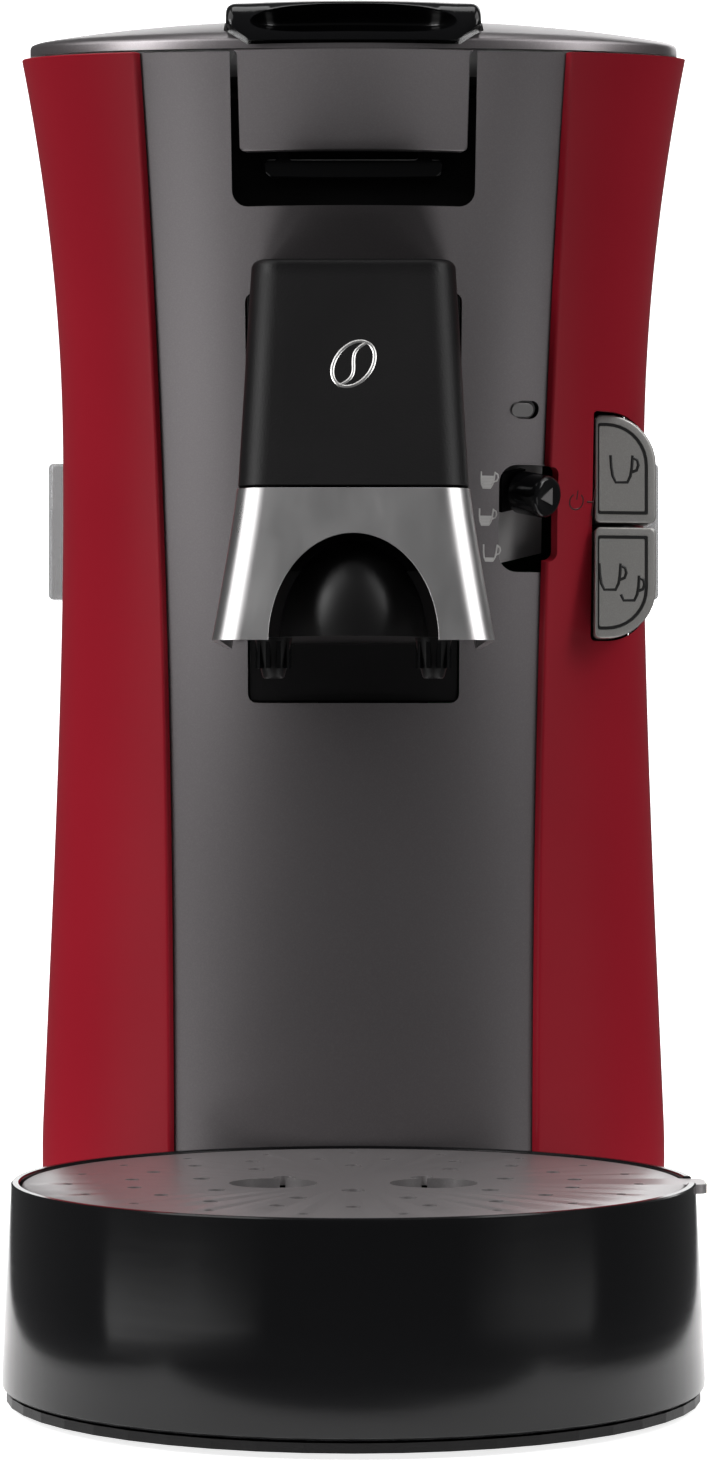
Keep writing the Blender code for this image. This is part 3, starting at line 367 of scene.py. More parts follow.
def plate(name, low, high, radii, start, end, surface=None, along="Z", steps=8):
    """A slab with a rounded rectangle as its outline, with one radius or a radius for each corner."""
    corners = radii if isinstance(radii, tuple) else (radii,) * 4
    return slab(name, rounded_rectangle(low, high, corners, steps), start, end, surface, along)


def bore(name, radius, start, end, centre, axis="Z", steps=32, surface=None):
    """A round cutting tool along one axis through its centre."""
    tool = turned(name, [(0.0, end), (radius, end), (radius, start), (0.0, start)], (0, 0, 0), surface, steps)
    tool.matrix_world = Matrix.Translation(centre) @ ALONG[axis]
    return tool


def facing(place, across, out, up):
    """Placing matrix on a surface: X across it, -Y out of it and Z up it."""
    return Matrix.Translation(place) @ Matrix((across, -out, up)).transposed().to_4x4()


def mount_piece(piece, body, slot_name, *nodes, rounding=None, segments=3, angle=35.0):
    """Ride a finished piece on its body, in the place of the plain solids it refines."""
    if rounding:
        round_edges(piece, rounding, segments, angle)
        settle(piece)
    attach(piece, body)
    if nodes:
        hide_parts(*nodes)


QUARTER = math.radians(90)
ALONG = {"X": Matrix.Rotation(QUARTER, 4, "Y"), "Y": Matrix.Rotation(QUARTER, 4, "X"),
         "Z": Matrix.Identity(4)}
dress(black_satin, "base_plate")
for name in ("foot_front_left", "foot_front_right", "foot_rear_left", "foot_rear_right"):
    low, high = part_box(name)
    centre = (low + high) / 2
    reach = (high.x - low.x) / 2
    foot = turned(name + "_pad", [(0.0, high.z), (reach, high.z), (reach, 0.0004), (reach - 0.0004, 0.0),
                                  (reach - 0.0022, 0.0), (reach - 0.0026, 0.0003), (0.0, 0.0003)],
                  (centre.x, centre.y, 0.0), dark_rubber, 48)
    mount_piece(foot, "housing", "dark_rubber", name)

# Column: a waisted body whose grey lacquered front leans forward to the lid. Its plan is half an
# ellipse in front with flat sides behind. The lower half tapers in a straight line to the waist.
WAIST_Z = 0.2125
WAIST_HALF = 0.0682
WAIST_SOFTNESS = 0.0016
SEAM_HALF = 0.0424
NOSE = 0.036
BODY_FLOOR = 0.0036
BODY_BACK = 0.082
TOP_FRONT = 0.2894
TOP_RISE = 0.0046
SKIN = 0.0019
SKIN_STEP = 0.0023
FULL_LEVELS = 72


def half_width(z):
    """Half the column's width at a height: narrowest at the waist."""
    if z > WAIST_Z:
        return WAIST_HALF + 1.02 * (z - WAIST_Z) ** 2
    taper = 0.045 * (WAIST_Z - max(z, 0.046))
    return WAIST_HALF + math.hypot(WAIST_SOFTNESS, taper) - WAIST_SOFTNESS


def front_line(z):
    """How far forward the middle of the front reaches at a height."""
    return 0.0215 - 0.0595 * (max(0.0, z - 0.09) / 0.2) ** 2.3


def nose(z):
    """Depth of the rounded front, which deepens towards the lid."""
    return NOSE + 0.009 * min(1.0, max(0.0, (z - 0.2) / 0.09))


def plan_point(z, angle, inset):
    """A point of the rounded front: angle 0 is the middle, a right angle the flat side."""
    across = (half_width(z) - inset) * math.sin(angle)
    depth = (nose(z) + SKIN_STEP - inset) * math.cos(angle)
    return Vector((across, front_line(z) + nose(z) - depth, z))


def top_edge(angle):
    """Height of the top edge, lowest in the middle of the front."""
    return TOP_FRONT + TOP_RISE * (1.0 - math.cos(angle))


def seam_angle(z, extra=0.0):
    """Where the red panel meets the grey front, as an angle of the plan."""
    share = (z - BODY_FLOOR) / (TOP_FRONT - BODY_FLOOR)
    return math.asin((SEAM_HALF + 0.0052 * share ** 2 + extra) / half_width(z))


def wall(name, outer, inner, surface, domed=False):
    """A wall between matching rows of outer and inner points; a domed one runs all round to a crown."""
    shape = bmesh.new()
    skins = [[[shape.verts.new(point) for point in row] for row in rows] for rows in (outer, inner)]
    front, back = skins
    count = len(front[0])
    spans = count if domed else count - 1
    quads = []
    for skin in skins:
        for lower, upper in zip(skin, skin[1:]):
            quads += [(lower[s], lower[(s + 1) % count], upper[(s + 1) % count], upper[s])
                      for s in range(spans)]
    rims = [(front[0], back[0])]
    if domed:
        quads += [tuple(front[-1]), tuple(back[-1])]
    else:
        rims.append((front[-1], back[-1]))
        for edge in (0, -1):
            for level in range(len(front) - 1):
                quads.append((front[level][edge], front[level + 1][edge],
                              back[level + 1][edge], back[level][edge]))
    for one, other in rims:
        quads += [(one[s], one[(s + 1) % count], other[(s + 1) % count], other[s])
                  for s in range(spans)]
    for quad in quads:
        shape.faces.new(quad)
    return link_mesh(name, shape, surface)


warm_grey = metallic_paint("warm_grey_lacquer", (0.175, 0.162, 0.167), 0.34, 0.78, 0.10)

skins = []
for inset in (SKIN_STEP, SKIN_STEP + SKIN):
    rows = []
    for share in spread(0.0, 1.0, FULL_LEVELS):
        rough = BODY_FLOOR + share * (TOP_FRONT - BODY_FLOOR)
        row = []
        for side in spread(-1.0, 1.0, 81):
            angle = side * seam_angle(rough, 0.0045)
            row.append(plan_point(BODY_FLOOR + share * (top_edge(angle) - BODY_FLOOR), angle, inset))
        rows.append(row)
    skins.append(rows)
front_panel = wall("front_panel_lacquered", *skins, warm_grey)
tongue_slot = plate("tongue_slot", (-0.0269, 0.2584), (0.0269, 0.3100), (0.0035, 0.0035, 0.001, 0.001),
                    -0.07, 0.01, along="Y")
dock_hole = plate("dock_hole", (-0.0243, 0.1487), (0.0243, 0.2403), (0.0022, 0.0022, 0.002, 0.002),
                  -0.05, 0.05, along="Y")
knob_hole = plate("knob_hole", (0.0332, 0.1788), (0.0560, 0.2030), (0.0042, 0.0003, 0.0003, 0.0042),
                  -0.01, 0.06, along="Y")
LIGHT_PLACE = Vector((0.0382, 0.0, 0.2153))
LIGHT_TURN = math.radians(21)
lens_hole = plate("lens_hole", (-0.0031, -0.0020), (0.0031, 0.0020), 0.0019, -0.03, 0.03, along="Y")
lens_hole.location = LIGHT_PLACE + Vector((0.0, 0.0115, 0.0))
lens_hole.rotation_euler = (0.0, 0.0, LIGHT_TURN)
carve(front_panel, [tongue_slot, dock_hole, knob_hole, lens_hole])
mount_piece(front_panel, "housing", "grey_satin", "front_panel", rounding=0.00045)

# Side panels: deep red gloss mouldings that stand proud of the grey front, with a rounded front
# edge that catches the light. The right one has the window for the two buttons.
deep_red = moulded_plastic("deep_red", (0.30, 0.0085, 0.0195), 0.34, 0.05)
deep_red.put("Specular IOR Level", 0.22)
EDGE_RADIUS = 0.0007


def side_section(share, side):
    """One level of a side panel as a closed loop: outside, rounded front edge, inside."""
    rough = BODY_FLOOR + share * (TOP_FRONT - BODY_FLOOR)
    angles = spread(math.pi / 2, seam_angle(rough), 34)
    levels = [BODY_FLOOR + share * (top_edge(angle) - BODY_FLOOR) for angle in angles]
    outside = [plan_point(z, angle, 0.0) for z, angle in zip(levels, angles)]
    inside = [plan_point(z, angle, SKIN) for z, angle in zip(levels, angles)]
    for line in (outside, inside):
        x, y, z = line[0]
        line[:0] = [Vector((x, back, z)) for back in spread(BODY_BACK, y, 6)[:-1]]
    out = (outside[-1] - inside[-1]).normalized()
    along = (outside[-1] - outside[-2]).normalized()
    hub = outside[-1] - EDGE_RADIUS * (out + along)
    edge = [hub + EDGE_RADIUS * (math.cos(turn) * out + math.sin(turn) * along)
            for turn in spread(0.0, math.pi / 2, 6)]
    loop = outside[:-1] + edge + list(reversed(inside))
    return [Vector((side * point.x, point.y, point.z)) for point in loop]


KNOB_BASE = Vector((0.0385, 0.0159, 0.1970))
knob_up = Vector((0.0, -0.27, 1.0)).normalized()
knob_out = Vector((math.sin(math.radians(45)), -math.cos(math.radians(45)), 0.0))
knob_out = (knob_out - knob_out.dot(knob_up) * knob_up).normalized()
knob_frame = facing(KNOB_BASE, knob_up.cross(knob_out), knob_out, knob_up)
BUTTON_LOW = 0.1637
BUTTON_HIGH = 0.2152

for side, name in ((-1, "left"), (1, "right")):
    sections = [side_section(share, side) for share in spread(0.0, 1.0, FULL_LEVELS)]
    panel = stack("side_panel_gloss_" + name, sections, deep_red)
    if side > 0:
        window = plate("button_window", (0.0550, BUTTON_LOW - 0.0005), (0.0704, BUTTON_HIGH + 0.0005),
                       (0.001, 0.0118, 0.0118, 0.001), 0.010, 0.0465, along="Y", steps=16)
        notch = plate("knob_notch", (-0.0055, -0.0160), (0.0055, 0.0062), 0.002, -0.02, 0.02, along="Y")
        notch.matrix_world = knob_frame
        carve(panel, [window, notch])
    mount_piece(panel, "housing", "red_gloss", "side_panel_" + name, rounding=0.00035, segments=2)

# Inside the column: the frame, the brewing parts, the heater and the pump. They are bought-in or
# plain moulded parts that show only through the openings or with the lid up.
plain_steel = drawn_metal("plain_steel", (0.52, 0.51, 0.50), 0.30)
boiler_steel = drawn_metal("boiler_steel", (0.56, 0.54, 0.50), 0.36, (1.0, 1.0, 12.0))
silicone = textured_plastic("silicone", (0.62, 0.61, 0.57), 0.42, 600.0, 0.1)
board_green = textured_plastic("board_laminate", (0.02, 0.13, 0.055), 0.45, 1500.0, 0.2)
pale_lens = moulded_plastic("pale_lens", (0.16, 0.155, 0.155), 0.30)
dress(black_satin, "inner_frame", "top_deck", "button_carrier", "slider_carriage", "hinge_bracket_left",
      "hinge_bracket_right", "pump", "one_cup_switch", "two_cup_switch", "thermostat", "latch_well")
dress(plain_steel, "boiler_strap", "lid_hinge_pin", "lever_pin", "board_screw_left", "board_screw_right")
dress(boiler_steel, "boiler")
dress(silicone, "tank_hose", "pump_hose", "brew_hose")
dress(dark_rubber, "pump_bracket", "coffee_outlet_pipe", "tank_valve", "tank_seat")
dress(board_green, "control_board")
dress(pale_lens, "thermal_fuse")
dress(warm_grey, "lid_hinge_barrel")
# Painted light: the slider track and the well floor are a paler grey than the front, so the deep knob well
# reads as lit.
well_painted_light_grey = moulded_plastic("well_painted_light_grey", (0.36, 0.35, 0.35), 0.42)
dress(well_painted_light_grey, "slider_track")

low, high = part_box("brew_chamber")
brew_centre = ((low.x + high.x) / 2, (low.y + high.y) / 2, 0.0)
brew_radius = (high.x - low.x) / 2
chamber = turned("brew_chamber_pressed", [
    (0.0, 0.2425), (brew_radius - 0.0042, 0.2425), (brew_radius - 0.0022, 0.2445),
    (brew_radius - 0.0022, 0.2837), (brew_radius - 0.0019, 0.2840), (brew_radius - 0.0003, 0.2840),
    (brew_radius, 0.2837), (brew_radius, 0.2400), (brew_radius - 0.0010, 0.2390), (0.0080, 0.2390),
    (0.0080, 0.2380), (0.0, 0.2380)], brew_centre, plain_steel)
mount_piece(chamber, "housing", "steel", "brew_chamber")
holder = turned("pod_holder_moulded", [
    (0.0, 0.2668), (0.0020, 0.2665), (0.0230, 0.2665), (0.0270, 0.2680), (0.0290, 0.2705),
    (0.0290, 0.2828), (0.0294, 0.2832), (0.0309, 0.2832), (0.0312, 0.2829), (0.0312, 0.2660),
    (0.0250, 0.2640), (0.0052, 0.2640), (0.0050, 0.2636), (0.0050, 0.2482), (0.0048, 0.2480),
    (0.0, 0.2480)], brew_centre, black_satin)
mount_piece(holder, "housing", "black_satin", "pod_holder")

# Spout dock: a black textured plate behind the opening in the front. It follows the lean of the
# front and is what the spout pushes on to.
low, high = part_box("spout_dock")
levels = spread(low.z, high.z, 40)
DOCK_BACKSET = 0.0030
DOCK_DEPTH = 0.0022
skins = [[[Vector((x, front_line(z) + depth, z)) for x in spread(low.x, high.x, 9)] for z in levels]
         for depth in (DOCK_BACKSET, DOCK_BACKSET + DOCK_DEPTH)]
dock = wall("spout_dock_moulded", *skins, black_satin)
mount_piece(dock, "housing", "black_satin", "spout_dock", rounding=0.0005)

# Spout: a black upper cover and a flared bright-plated lower cover clip round the black body that
# splits the coffee between two ribbed nozzles. The whole spout pulls off forwards.
SPOUT_TOP = 0.2443
SPOUT_SPLIT = 0.1937
SPOUT_LOW = 0.1611
SPOUT_GAP = 0.0003
SPOUT_CORNER = 0.0062
SPOUT_WALL = 0.0016
bright_metal = drawn_metal("bright_plating", (0.56, 0.55, 0.55), 0.30, (1.0, 1.0, 0.05), 140.0)
bright_metal.relief(bright_metal.grain(1600.0, 2.0), 0.03, 0.00002)


def spout_front(z):
    """The front face of the spout, which slopes forward on its way down."""
    return -0.0400 - 0.0400 * (SPOUT_TOP - z) / (SPOUT_TOP - SPOUT_LOW)


def spout_half(z):
    """Half the width of the spout: its lower cover flares."""
    if z >= SPOUT_SPLIT:
        return 0.0221 + 0.0023 * (SPOUT_TOP - z) / (SPOUT_TOP - SPOUT_SPLIT)
    return 0.0246 + 0.0048 * ((SPOUT_SPLIT - z) / (SPOUT_SPLIT - SPOUT_LOW)) ** 1.15


def spout_row(z, inset=0.0, height=None):
    """Plan of the spout at one height, from its back left round the front to its back right."""
    half = spout_half(z) - inset
    front = spout_front(z) + inset
    back = front_line(z) - 0.0012
    radius = max(0.0010, SPOUT_CORNER - inset)
    level = z if height is None else height
    row = [Vector((-half, y, level)) for y in spread(back, front + radius, 10)[:-1]]
    for angle in spread(180, 270, 12):
        turn = math.radians(angle)
        row.append(Vector((-half + radius + radius * math.cos(turn), front + radius + radius * math.sin(turn),
                           level)))
    row += [Vector((x, front, level)) for x in spread(-half + radius, 0.0, 6)[1:-1]]
    return row + [Vector((-point.x, point.y, point.z)) for point in reversed(row)]


TOP_ROUND = 0.0020
outer_loops = [spout_row(z) for z in spread(SPOUT_SPLIT + SPOUT_GAP, SPOUT_TOP - TOP_ROUND, 24)]
for angle in spread(15, 90, 6):
    turn = math.radians(angle)
    outer_loops.append(spout_row(SPOUT_TOP - TOP_ROUND, TOP_ROUND * (1 - math.cos(turn)),
                                 height=SPOUT_TOP - TOP_ROUND * (1 - math.sin(turn))))
inner_loops = []
for z in spread(SPOUT_SPLIT - 0.002, SPOUT_TOP - 0.0018, 12):
    loop = spout_row(z, SPOUT_WALL)
    loop[0].y += 0.003
    loop[-1].y += 0.003
    inner_loops.append(loop)
upper = stack("spout_upper_cover", outer_loops, black_satin)
carve(upper, [stack("spout_hollow", inner_loops, None)])
mount_piece(upper, "spout", "black_satin", "spout_cover_upper", rounding=0.0003, segments=2)
skins = [[spout_row(z, inset) for z in spread(SPOUT_LOW, SPOUT_SPLIT - SPOUT_GAP, 26)]
         for inset in (0.0, SPOUT_WALL)]
lower = wall("spout_lower_cover", *skins, bright_metal)
ARCH_HALF = 0.0176
ARCH_RISE = 0.0226
arch_outline = [(ARCH_HALF * math.cos(turn), SPOUT_LOW + ARCH_RISE * math.sin(turn))
                for turn in spread(0, math.pi, 64)]
arch_outline += [(-ARCH_HALF, SPOUT_LOW - 0.01), (ARCH_HALF, SPOUT_LOW - 0.01)]
carve(lower, [slab("spout_arch", arch_outline, -0.1, -0.05, along="Y")])
mount_piece(lower, "spout", "bright_metal", "spout_cover_lower", rounding=0.0005)

NOZZLE_X = 0.017
NOZZLE_Y = -0.0525
NOZZLE_LOW = 0.1535
BODY_BASE = SPOUT_LOW + 0.001
spout_black = moulded_plastic("spout_black", (0.006, 0.0058, 0.006), 0.36, 0.05)
spout_black.put("Specular IOR Level", 0.25)
body = plate("spout_body_moulded", (-0.0215, -0.0600), (0.0215, 0.0115), 0.003, BODY_BASE, 0.1760,
             spout_black)
shape = bmesh.new()
bmesh.ops.create_uvsphere(shape, u_segments=72, v_segments=40, radius=1.0)
bmesh.ops.scale(shape, vec=(0.0160, 0.0160, 0.0205), verts=shape.verts)
bmesh.ops.translate(shape, vec=(0.0, -0.0560, BODY_BASE), verts=shape.verts)
bmesh.ops.bisect_plane(shape, geom=shape.verts[:] + shape.edges[:] + shape.faces[:],
                       plane_co=(0, 0, BODY_BASE), plane_no=(0, 0, -1), clear_outer=True)
bmesh.ops.holes_fill(shape, edges=[edge for edge in shape.edges if edge.is_boundary])
dome = link_mesh("spout_dome", shape, spout_black)
cones = []
bores = []
for side in (-1, 1):
    tip = (side * NOZZLE_X, NOZZLE_Y, NOZZLE_LOW)
    cones.append(turned("nozzle_cone", [(0.0, 0.0105), (0.0041, 0.0105), (0.0040, 0.0085), (0.0030, 0.0030),
                                        (0.0023, 0.0003), (0.0020, 0.0), (0.0, 0.0)], tip, spout_black, 40))
    bores.append(bore("nozzle_bore", 0.0012, -0.002, 0.014, tip, steps=24, surface=spout_black))
carve(body, [dome, *cones], "UNION")
carve(body, bores)
mount_piece(body, "spout", "black_gloss", "spout_body", rounding=0.0003, segments=2)


# Repeated features, such as nozzle ribs, drain holes and vents, come from small trees that set
# copies of a bar or a peg round a circle or in rows.
SOCKETS = {int: "NodeSocketInt", float: "NodeSocketFloat", tuple: "NodeSocketVector"}


def copy_tree(name, layout, sizes):
    """A node tree with named sizes: what its layout sets out is made real and painted."""
    tree = bpy.data.node_groups.new(name, "GeometryNodeTree")
    for label, value in sizes.items():
        entry = tree.interface.new_socket(label, in_out="INPUT", socket_type=SOCKETS[type(value)])
        entry.default_value = value
    tree.interface.new_socket("Finish", in_out="INPUT", socket_type="NodeSocketMaterial")
    tree.interface.new_socket("Geometry", in_out="OUTPUT", socket_type="NodeSocketGeometry")

    def add(kind, links, **settings):
        made = tree.nodes.new(kind)
        for key, value in settings.items():
            setattr(made, key, value)
        for key, source in links.items():
            if isinstance(source, bpy.types.NodeSocket):
                tree.links.new(source, made.inputs[key])
            else:
                made.inputs[key].default_value = source
        return made.outputs[0] if made.outputs else None

    given = tree.nodes.new("NodeGroupInput").outputs
    real = add("GeometryNodeRealizeInstances", {"Geometry": layout(add, given)})
    painted = add("GeometryNodeSetMaterial", {"Geometry": real, "Material": given["Finish"]})
    add("NodeGroupOutput", {0: painted})
    return tree


def in_ring(add, given, peg):
    """Copies of a peg round a circle, each turned to face outwards."""
    circle = add("GeometryNodeMeshCircle", {"Vertices": given["Count"], "Radius": given["Ring Radius"]})
    index = add("GeometryNodeInputIndex", {})
    step = add("ShaderNodeMath", {0: 2 * math.pi, 1: given["Count"]}, operation="DIVIDE")
    angle = add("ShaderNodeMath", {0: index, 1: step}, operation="MULTIPLY")
    turn = add("ShaderNodeCombineXYZ", {"Z": angle})
    copies = add("GeometryNodeInstanceOnPoints", {"Points": circle, "Instance": peg, "Rotation": turn})
    first = add("ShaderNodeCombineXYZ", {"Z": given["First Angle"]})
    return add("GeometryNodeTransform", {"Geometry": copies, "Rotation": first})


def round_pegs(add, given):
    """A ring of round pegs."""
    return in_ring(add, given, add("GeometryNodeMeshCylinder", {
        "Vertices": 20, "Radius": given["Peg Radius"], "Depth": given["Peg Height"]}))


def square_bars(add, given):
    """A ring of square bars."""
    width = given["Peg Radius"]
    size = add("ShaderNodeCombineXYZ", {"X": width, "Y": width, "Z": given["Peg Height"]})
    return in_ring(add, given, add("GeometryNodeMeshCube", {"Size": size}))


def rows_of_bars(add, given):
    """Bars in rows and columns."""
    points = add("GeometryNodeMeshGrid", {"Size X": given["Width"], "Size Y": given["Height"],
                                          "Vertices X": given["Across"], "Vertices Y": given["Up"]})
    bar = add("GeometryNodeMeshCube", {"Size": given["Bar"]})
    return add("GeometryNodeInstanceOnPoints", {"Points": points, "Instance": bar})


RING_SIZES = {"Count": 8, "Ring Radius": 0.01, "Peg Radius": 0.001, "Peg Height": 0.002, "First Angle": 0.0}
peg_ring = copy_tree("ring_of_pegs", round_pegs, RING_SIZES)
bar_ring = copy_tree("ring_of_bars", square_bars, RING_SIZES)
bar_rows = copy_tree("rows_of_bars", rows_of_bars, {"Across": 2, "Up": 10, "Width": 0.04, "Height": 0.05,
                                                    "Bar": (0.03, 0.002, 0.002)})


def copies_of(name, tree, centre, surface, turn=(0.0, 0.0, 0.0), **sizes):
    """Run a tree at a centre and keep the copies as a plain mesh."""
    piece = bpy.data.objects.new(name, bpy.data.meshes.new(name))
    bpy.context.scene.collection.objects.link(piece)
    piece.location = centre
    piece.rotation_euler = turn
    copies = piece.modifiers.new("copies", "NODES")
    copies.node_group = tree
    sizes = {label.replace("_", " ").title(): value for label, value in sizes.items()}
    sizes["Finish"] = surface.material
    for socket in tree.interface.items_tree:
        if socket.name in sizes:
            copies[socket.identifier] = sizes[socket.name]
    return settle(piece)


for side, name in ((-1, "left"), (1, "right")):
    middle = (side * NOZZLE_X, NOZZLE_Y, NOZZLE_LOW + 0.0055)
    ribs = copies_of("nozzle_ribs_" + name, bar_ring, middle, black_gloss,
                     count=10, ring_radius=0.0034, peg_radius=0.0009, peg_height=0.0068)
    mount_piece(ribs, "spout", "black_gloss")


# Printed and raised marks: cup pictures beside the knob, a power mark on the red panel and a coffee
# bean on the spout, all drawn as fine raised lines. They name no maker and hold no lettering.
def mark_line(points, width, place):
    """A closed or open line of a mark, from flat points, set on a surface by its placing matrix."""
    data = bpy.data.curves.new("mark", "CURVE")
    data.dimensions = "3D"
    line = data.splines.new("POLY")
    line.points.add(len(points) - 1)
    for spot, (x, z) in zip(line.points, points):
        spot.co = (x, 0.0, z, 1.0)
    data.bevel_depth = width / 2
    data.bevel_resolution = 2
    data.use_fill_caps = True
    piece = bpy.data.objects.new("mark", data)
    bpy.context.scene.collection.objects.link(piece)
    piece.matrix_world = place @ Matrix.Diagonal((1.0, 0.35, 1.0, 1.0))
    bpy.context.view_layer.update()
    mesh = bpy.data.meshes.new_from_object(piece.evaluated_get(bpy.context.evaluated_depsgraph_get()))
    mesh.transform(piece.matrix_world)
    bpy.data.objects.remove(piece, do_unlink=True)
    return mesh


def merge_marks(name, meshes, surface):
    """Join the lines of a mark into one piece."""
    shape = bmesh.new()
    for mesh in meshes:
        shape.from_mesh(mesh)
    bmesh.ops.remove_doubles(shape, verts=shape.verts, dist=0.000004)
    for face in shape.faces:
        face.material_index = 0
    return link_mesh(name, shape, surface)


def cup_lines(size, centre=(0.0, 0.0), filled=0.0):
    """Outline of a cup with a round bottom and a handle, and level lines for how full it is."""
    half = 0.36 * size
    x0, z0 = centre
    left = [(-1.0, 0.42), (-0.93, 0.05), (-0.80, -0.22), (-0.52, -0.42)]
    bowl = [(x0 + half * x, z0 + size * z) for x, z in left]
    bowl += [(x0 - half * x, z0 + size * z) for x, z in reversed(left)]
    ear = [(1.0, 0.36), (1.42, 0.28), (1.52, 0.12), (1.36, -0.04), (0.92, -0.10)]
    ear = [(x0 + half * x, z0 + size * z) for x, z in ear]
    lines = [bowl, ear]
    rows = int(filled * 9)
    for row in range(rows):
        level = -0.36 + 0.075 * row
        reach = half * (0.56 + 0.44 * min(1.0, (level + 0.42) / 0.45)) * 0.86
        lines.append([(x0 - reach, z0 + size * level), (x0 + reach, z0 + size * level)])
    return lines


def on_front(x, z, lift=0.0, inset=SKIN_STEP):
    """Placing matrix on the grey front, or on the red panel: X along the surface, -Y out of it."""
    angle = math.asin(x / (half_width(z) - inset))
    spot = plan_point(z, angle, inset)
    beside = plan_point(z, angle + 0.002, inset) - spot
    above = plan_point(z + 0.0005, angle, inset) - spot
    across = beside.normalized()
    out = across.cross(above).normalized()
    up = out.cross(across)
    return facing(spot + out * lift, across, out, up)


print_white = moulded_plastic("print_white", (0.55, 0.54, 0.53), 0.4)
marks = []
for x, z, filled in ((0.0305, 0.1995, 0.9), (0.0302, 0.1912, 0.7), (0.0312, 0.1831, 0.3)):
    for line in cup_lines(0.0046, filled=filled):
        marks.append(mark_line(line, 0.00040, on_front(x, z)))
strength_marks = merge_marks("strength_marks", marks, print_white)
mount_piece(strength_marks, "housing", "lens_grey")

power_red = moulded_plastic("power_mark_red", (0.045, 0.002, 0.004), 0.4)
power_ring = [(0.0019 * math.sin(turn), 0.0019 * math.cos(turn))
              for turn in spread(0.6, 2 * math.pi - 0.6, 28)]
power_lines = [mark_line(line, 0.00036, on_front(0.0512, 0.1950, 0.0, 0.0))
               for line in (power_ring, [(0.0, 0.0004), (0.0, 0.0026)], [(0.0048, -0.0032), (0.0048, 0.0032)],
                            [(0.0030, 0.0), (0.0048, 0.0)])]
power_mark = merge_marks("power_mark", power_lines, power_red)
mount_piece(power_mark, "housing", "red_gloss")
EMBLEM_Z = 0.2205
BEAN_HALF = 0.0040
BEAN_REACH = 0.0060
sideways = Vector((1.0, 0.0, 0.0))
tilt = Vector((0.0, 0.0400 / (SPOUT_TOP - SPOUT_LOW), 1.0)).normalized()
emblem_place = facing((0.0, spout_front(EMBLEM_Z), EMBLEM_Z), sideways, sideways.cross(tilt), tilt)
emblem_place = emblem_place @ Matrix.Rotation(0.5, 4, "Y")
bean = [(BEAN_HALF * math.cos(turn), BEAN_REACH * math.sin(turn)) for turn in spread(0.0, 2 * math.pi, 48)]
crease = [(0.0011 * math.sin(share * 2 * math.pi), BEAN_REACH * (2 * share - 1))
          for share in spread(0.0, 1.0, 24)]
bean_lines = [mark_line(bean, 0.0008, emblem_place), mark_line(crease, 0.0007, emblem_place)]
emblem = merge_marks("bean_emblem", bean_lines, drawn_metal("emblem_silver", (0.62, 0.61, 0.60), 0.32))
mount_piece(emblem, "spout", "bright_metal")

# Descale light: a pale pill-shaped lens in a black surround, let into the front.
pill = ((-0.0027, -0.0016), (0.0027, 0.0016), 0.00155)
lens = plate("descale_lens", *pill, -0.0008, 0.0012, pale_lens, along="Y")
lens_frame = plate("descale_surround", (-0.00345, -0.00215), (0.00345, 0.00215), 0.0021, -0.00012, 0.0012,
                   black_gloss, along="Y")
carve(lens_frame, [plate("lens_opening", *pill, -0.01, 0.01, along="Y")])
for piece in (lens, lens_frame):
    round_edges(piece, 0.00018, 2)
    piece.matrix_world = on_front(LIGHT_PLACE.x, LIGHT_PLACE.z, -0.0002)
    settle(piece)
mount_piece(lens, "housing", "lens_grey", "descale_light")
mount_piece(lens_frame, "housing", "black_gloss")

# Strength knob: a gloss black button with a dished, chamfered face and a pale pointer. It slides
# down the slot on a hidden carriage, over the slot's floor, and pushes in as the power switch. The
# floor's pale grey is painted light: it stands in for the light that falls into the well.
KNOB_RADIUS = 0.0049
KNOB_LENGTH = 0.0084
profile = [(0.0, KNOB_LENGTH - 0.0004), (0.0026, KNOB_LENGTH - 0.0003), (0.0036, KNOB_LENGTH),
           (0.0039, KNOB_LENGTH), (0.0045, KNOB_LENGTH - 0.0004), (0.0048, KNOB_LENGTH - 0.0009),
           (KNOB_RADIUS, KNOB_LENGTH - 0.0015), (KNOB_RADIUS, 0.0002), (0.0047, 0.0), (0.0, 0.0)]
knob = turned("strength_knob_turned", profile, (0, 0, 0), black_gloss, 72)
knob.matrix_world = knob_frame @ ALONG["Y"]
settle(knob)
mount_piece(knob, "knob", "black_gloss", "strength_knob")
# Painted light: a pale grey floor behind the knob slot, lighter than the front, in place of the light that
# reaches into the well.
well_floor = slab("knob_well_floor", [(-0.0056, -0.0171), (0.0125, -0.0171), (0.0125, 0.0074),
                                      (-0.0056, 0.0074)], 0.0048, 0.0054, well_painted_light_grey, along="Y")
well_floor.matrix_world = knob_frame
settle(well_floor)
mount_piece(well_floor, "housing", "grey_satin")
face_place = knob_frame @ Matrix.Translation((0.0, -KNOB_LENGTH + 0.00022, 0.0))
pointer = slab("knob_pointer", [(-0.0026, 0.0), (0.0013, -0.0020), (0.0013, 0.0020)], -0.00012, 0.0003,
               pale_lens, along="Y")
pointer.matrix_world = face_place
settle(pointer)
mount_piece(pointer, "knob", "lens_grey")

# Cup buttons: two satin grey keys, one above the other, that stand out of the window in the right
# side panel. Each has a black inlaid line round its face and a cup picture. The line's left run lies
# close to the key's left edge as painted shade from the window's edge.
button_grey = metallic_paint("button_grey_lacquer", (0.34, 0.333, 0.32), 0.33, 0.45)
ink_black = moulded_plastic("ink_black", (0.008, 0.008, 0.008), 0.35)
BUTTON_LEFT = 0.0556
BUTTON_RIGHT = 0.0699
BUTTON_FRONT = 0.0209
BUTTON_SLOPE = 0.245
BUTTON_DEPTH = 0.0440
INLAY_INSET = 0.0019
INLAY_WIDTH = 0.0008
INLAY_SINK = 0.0005
KEY_ROUND = 0.0005


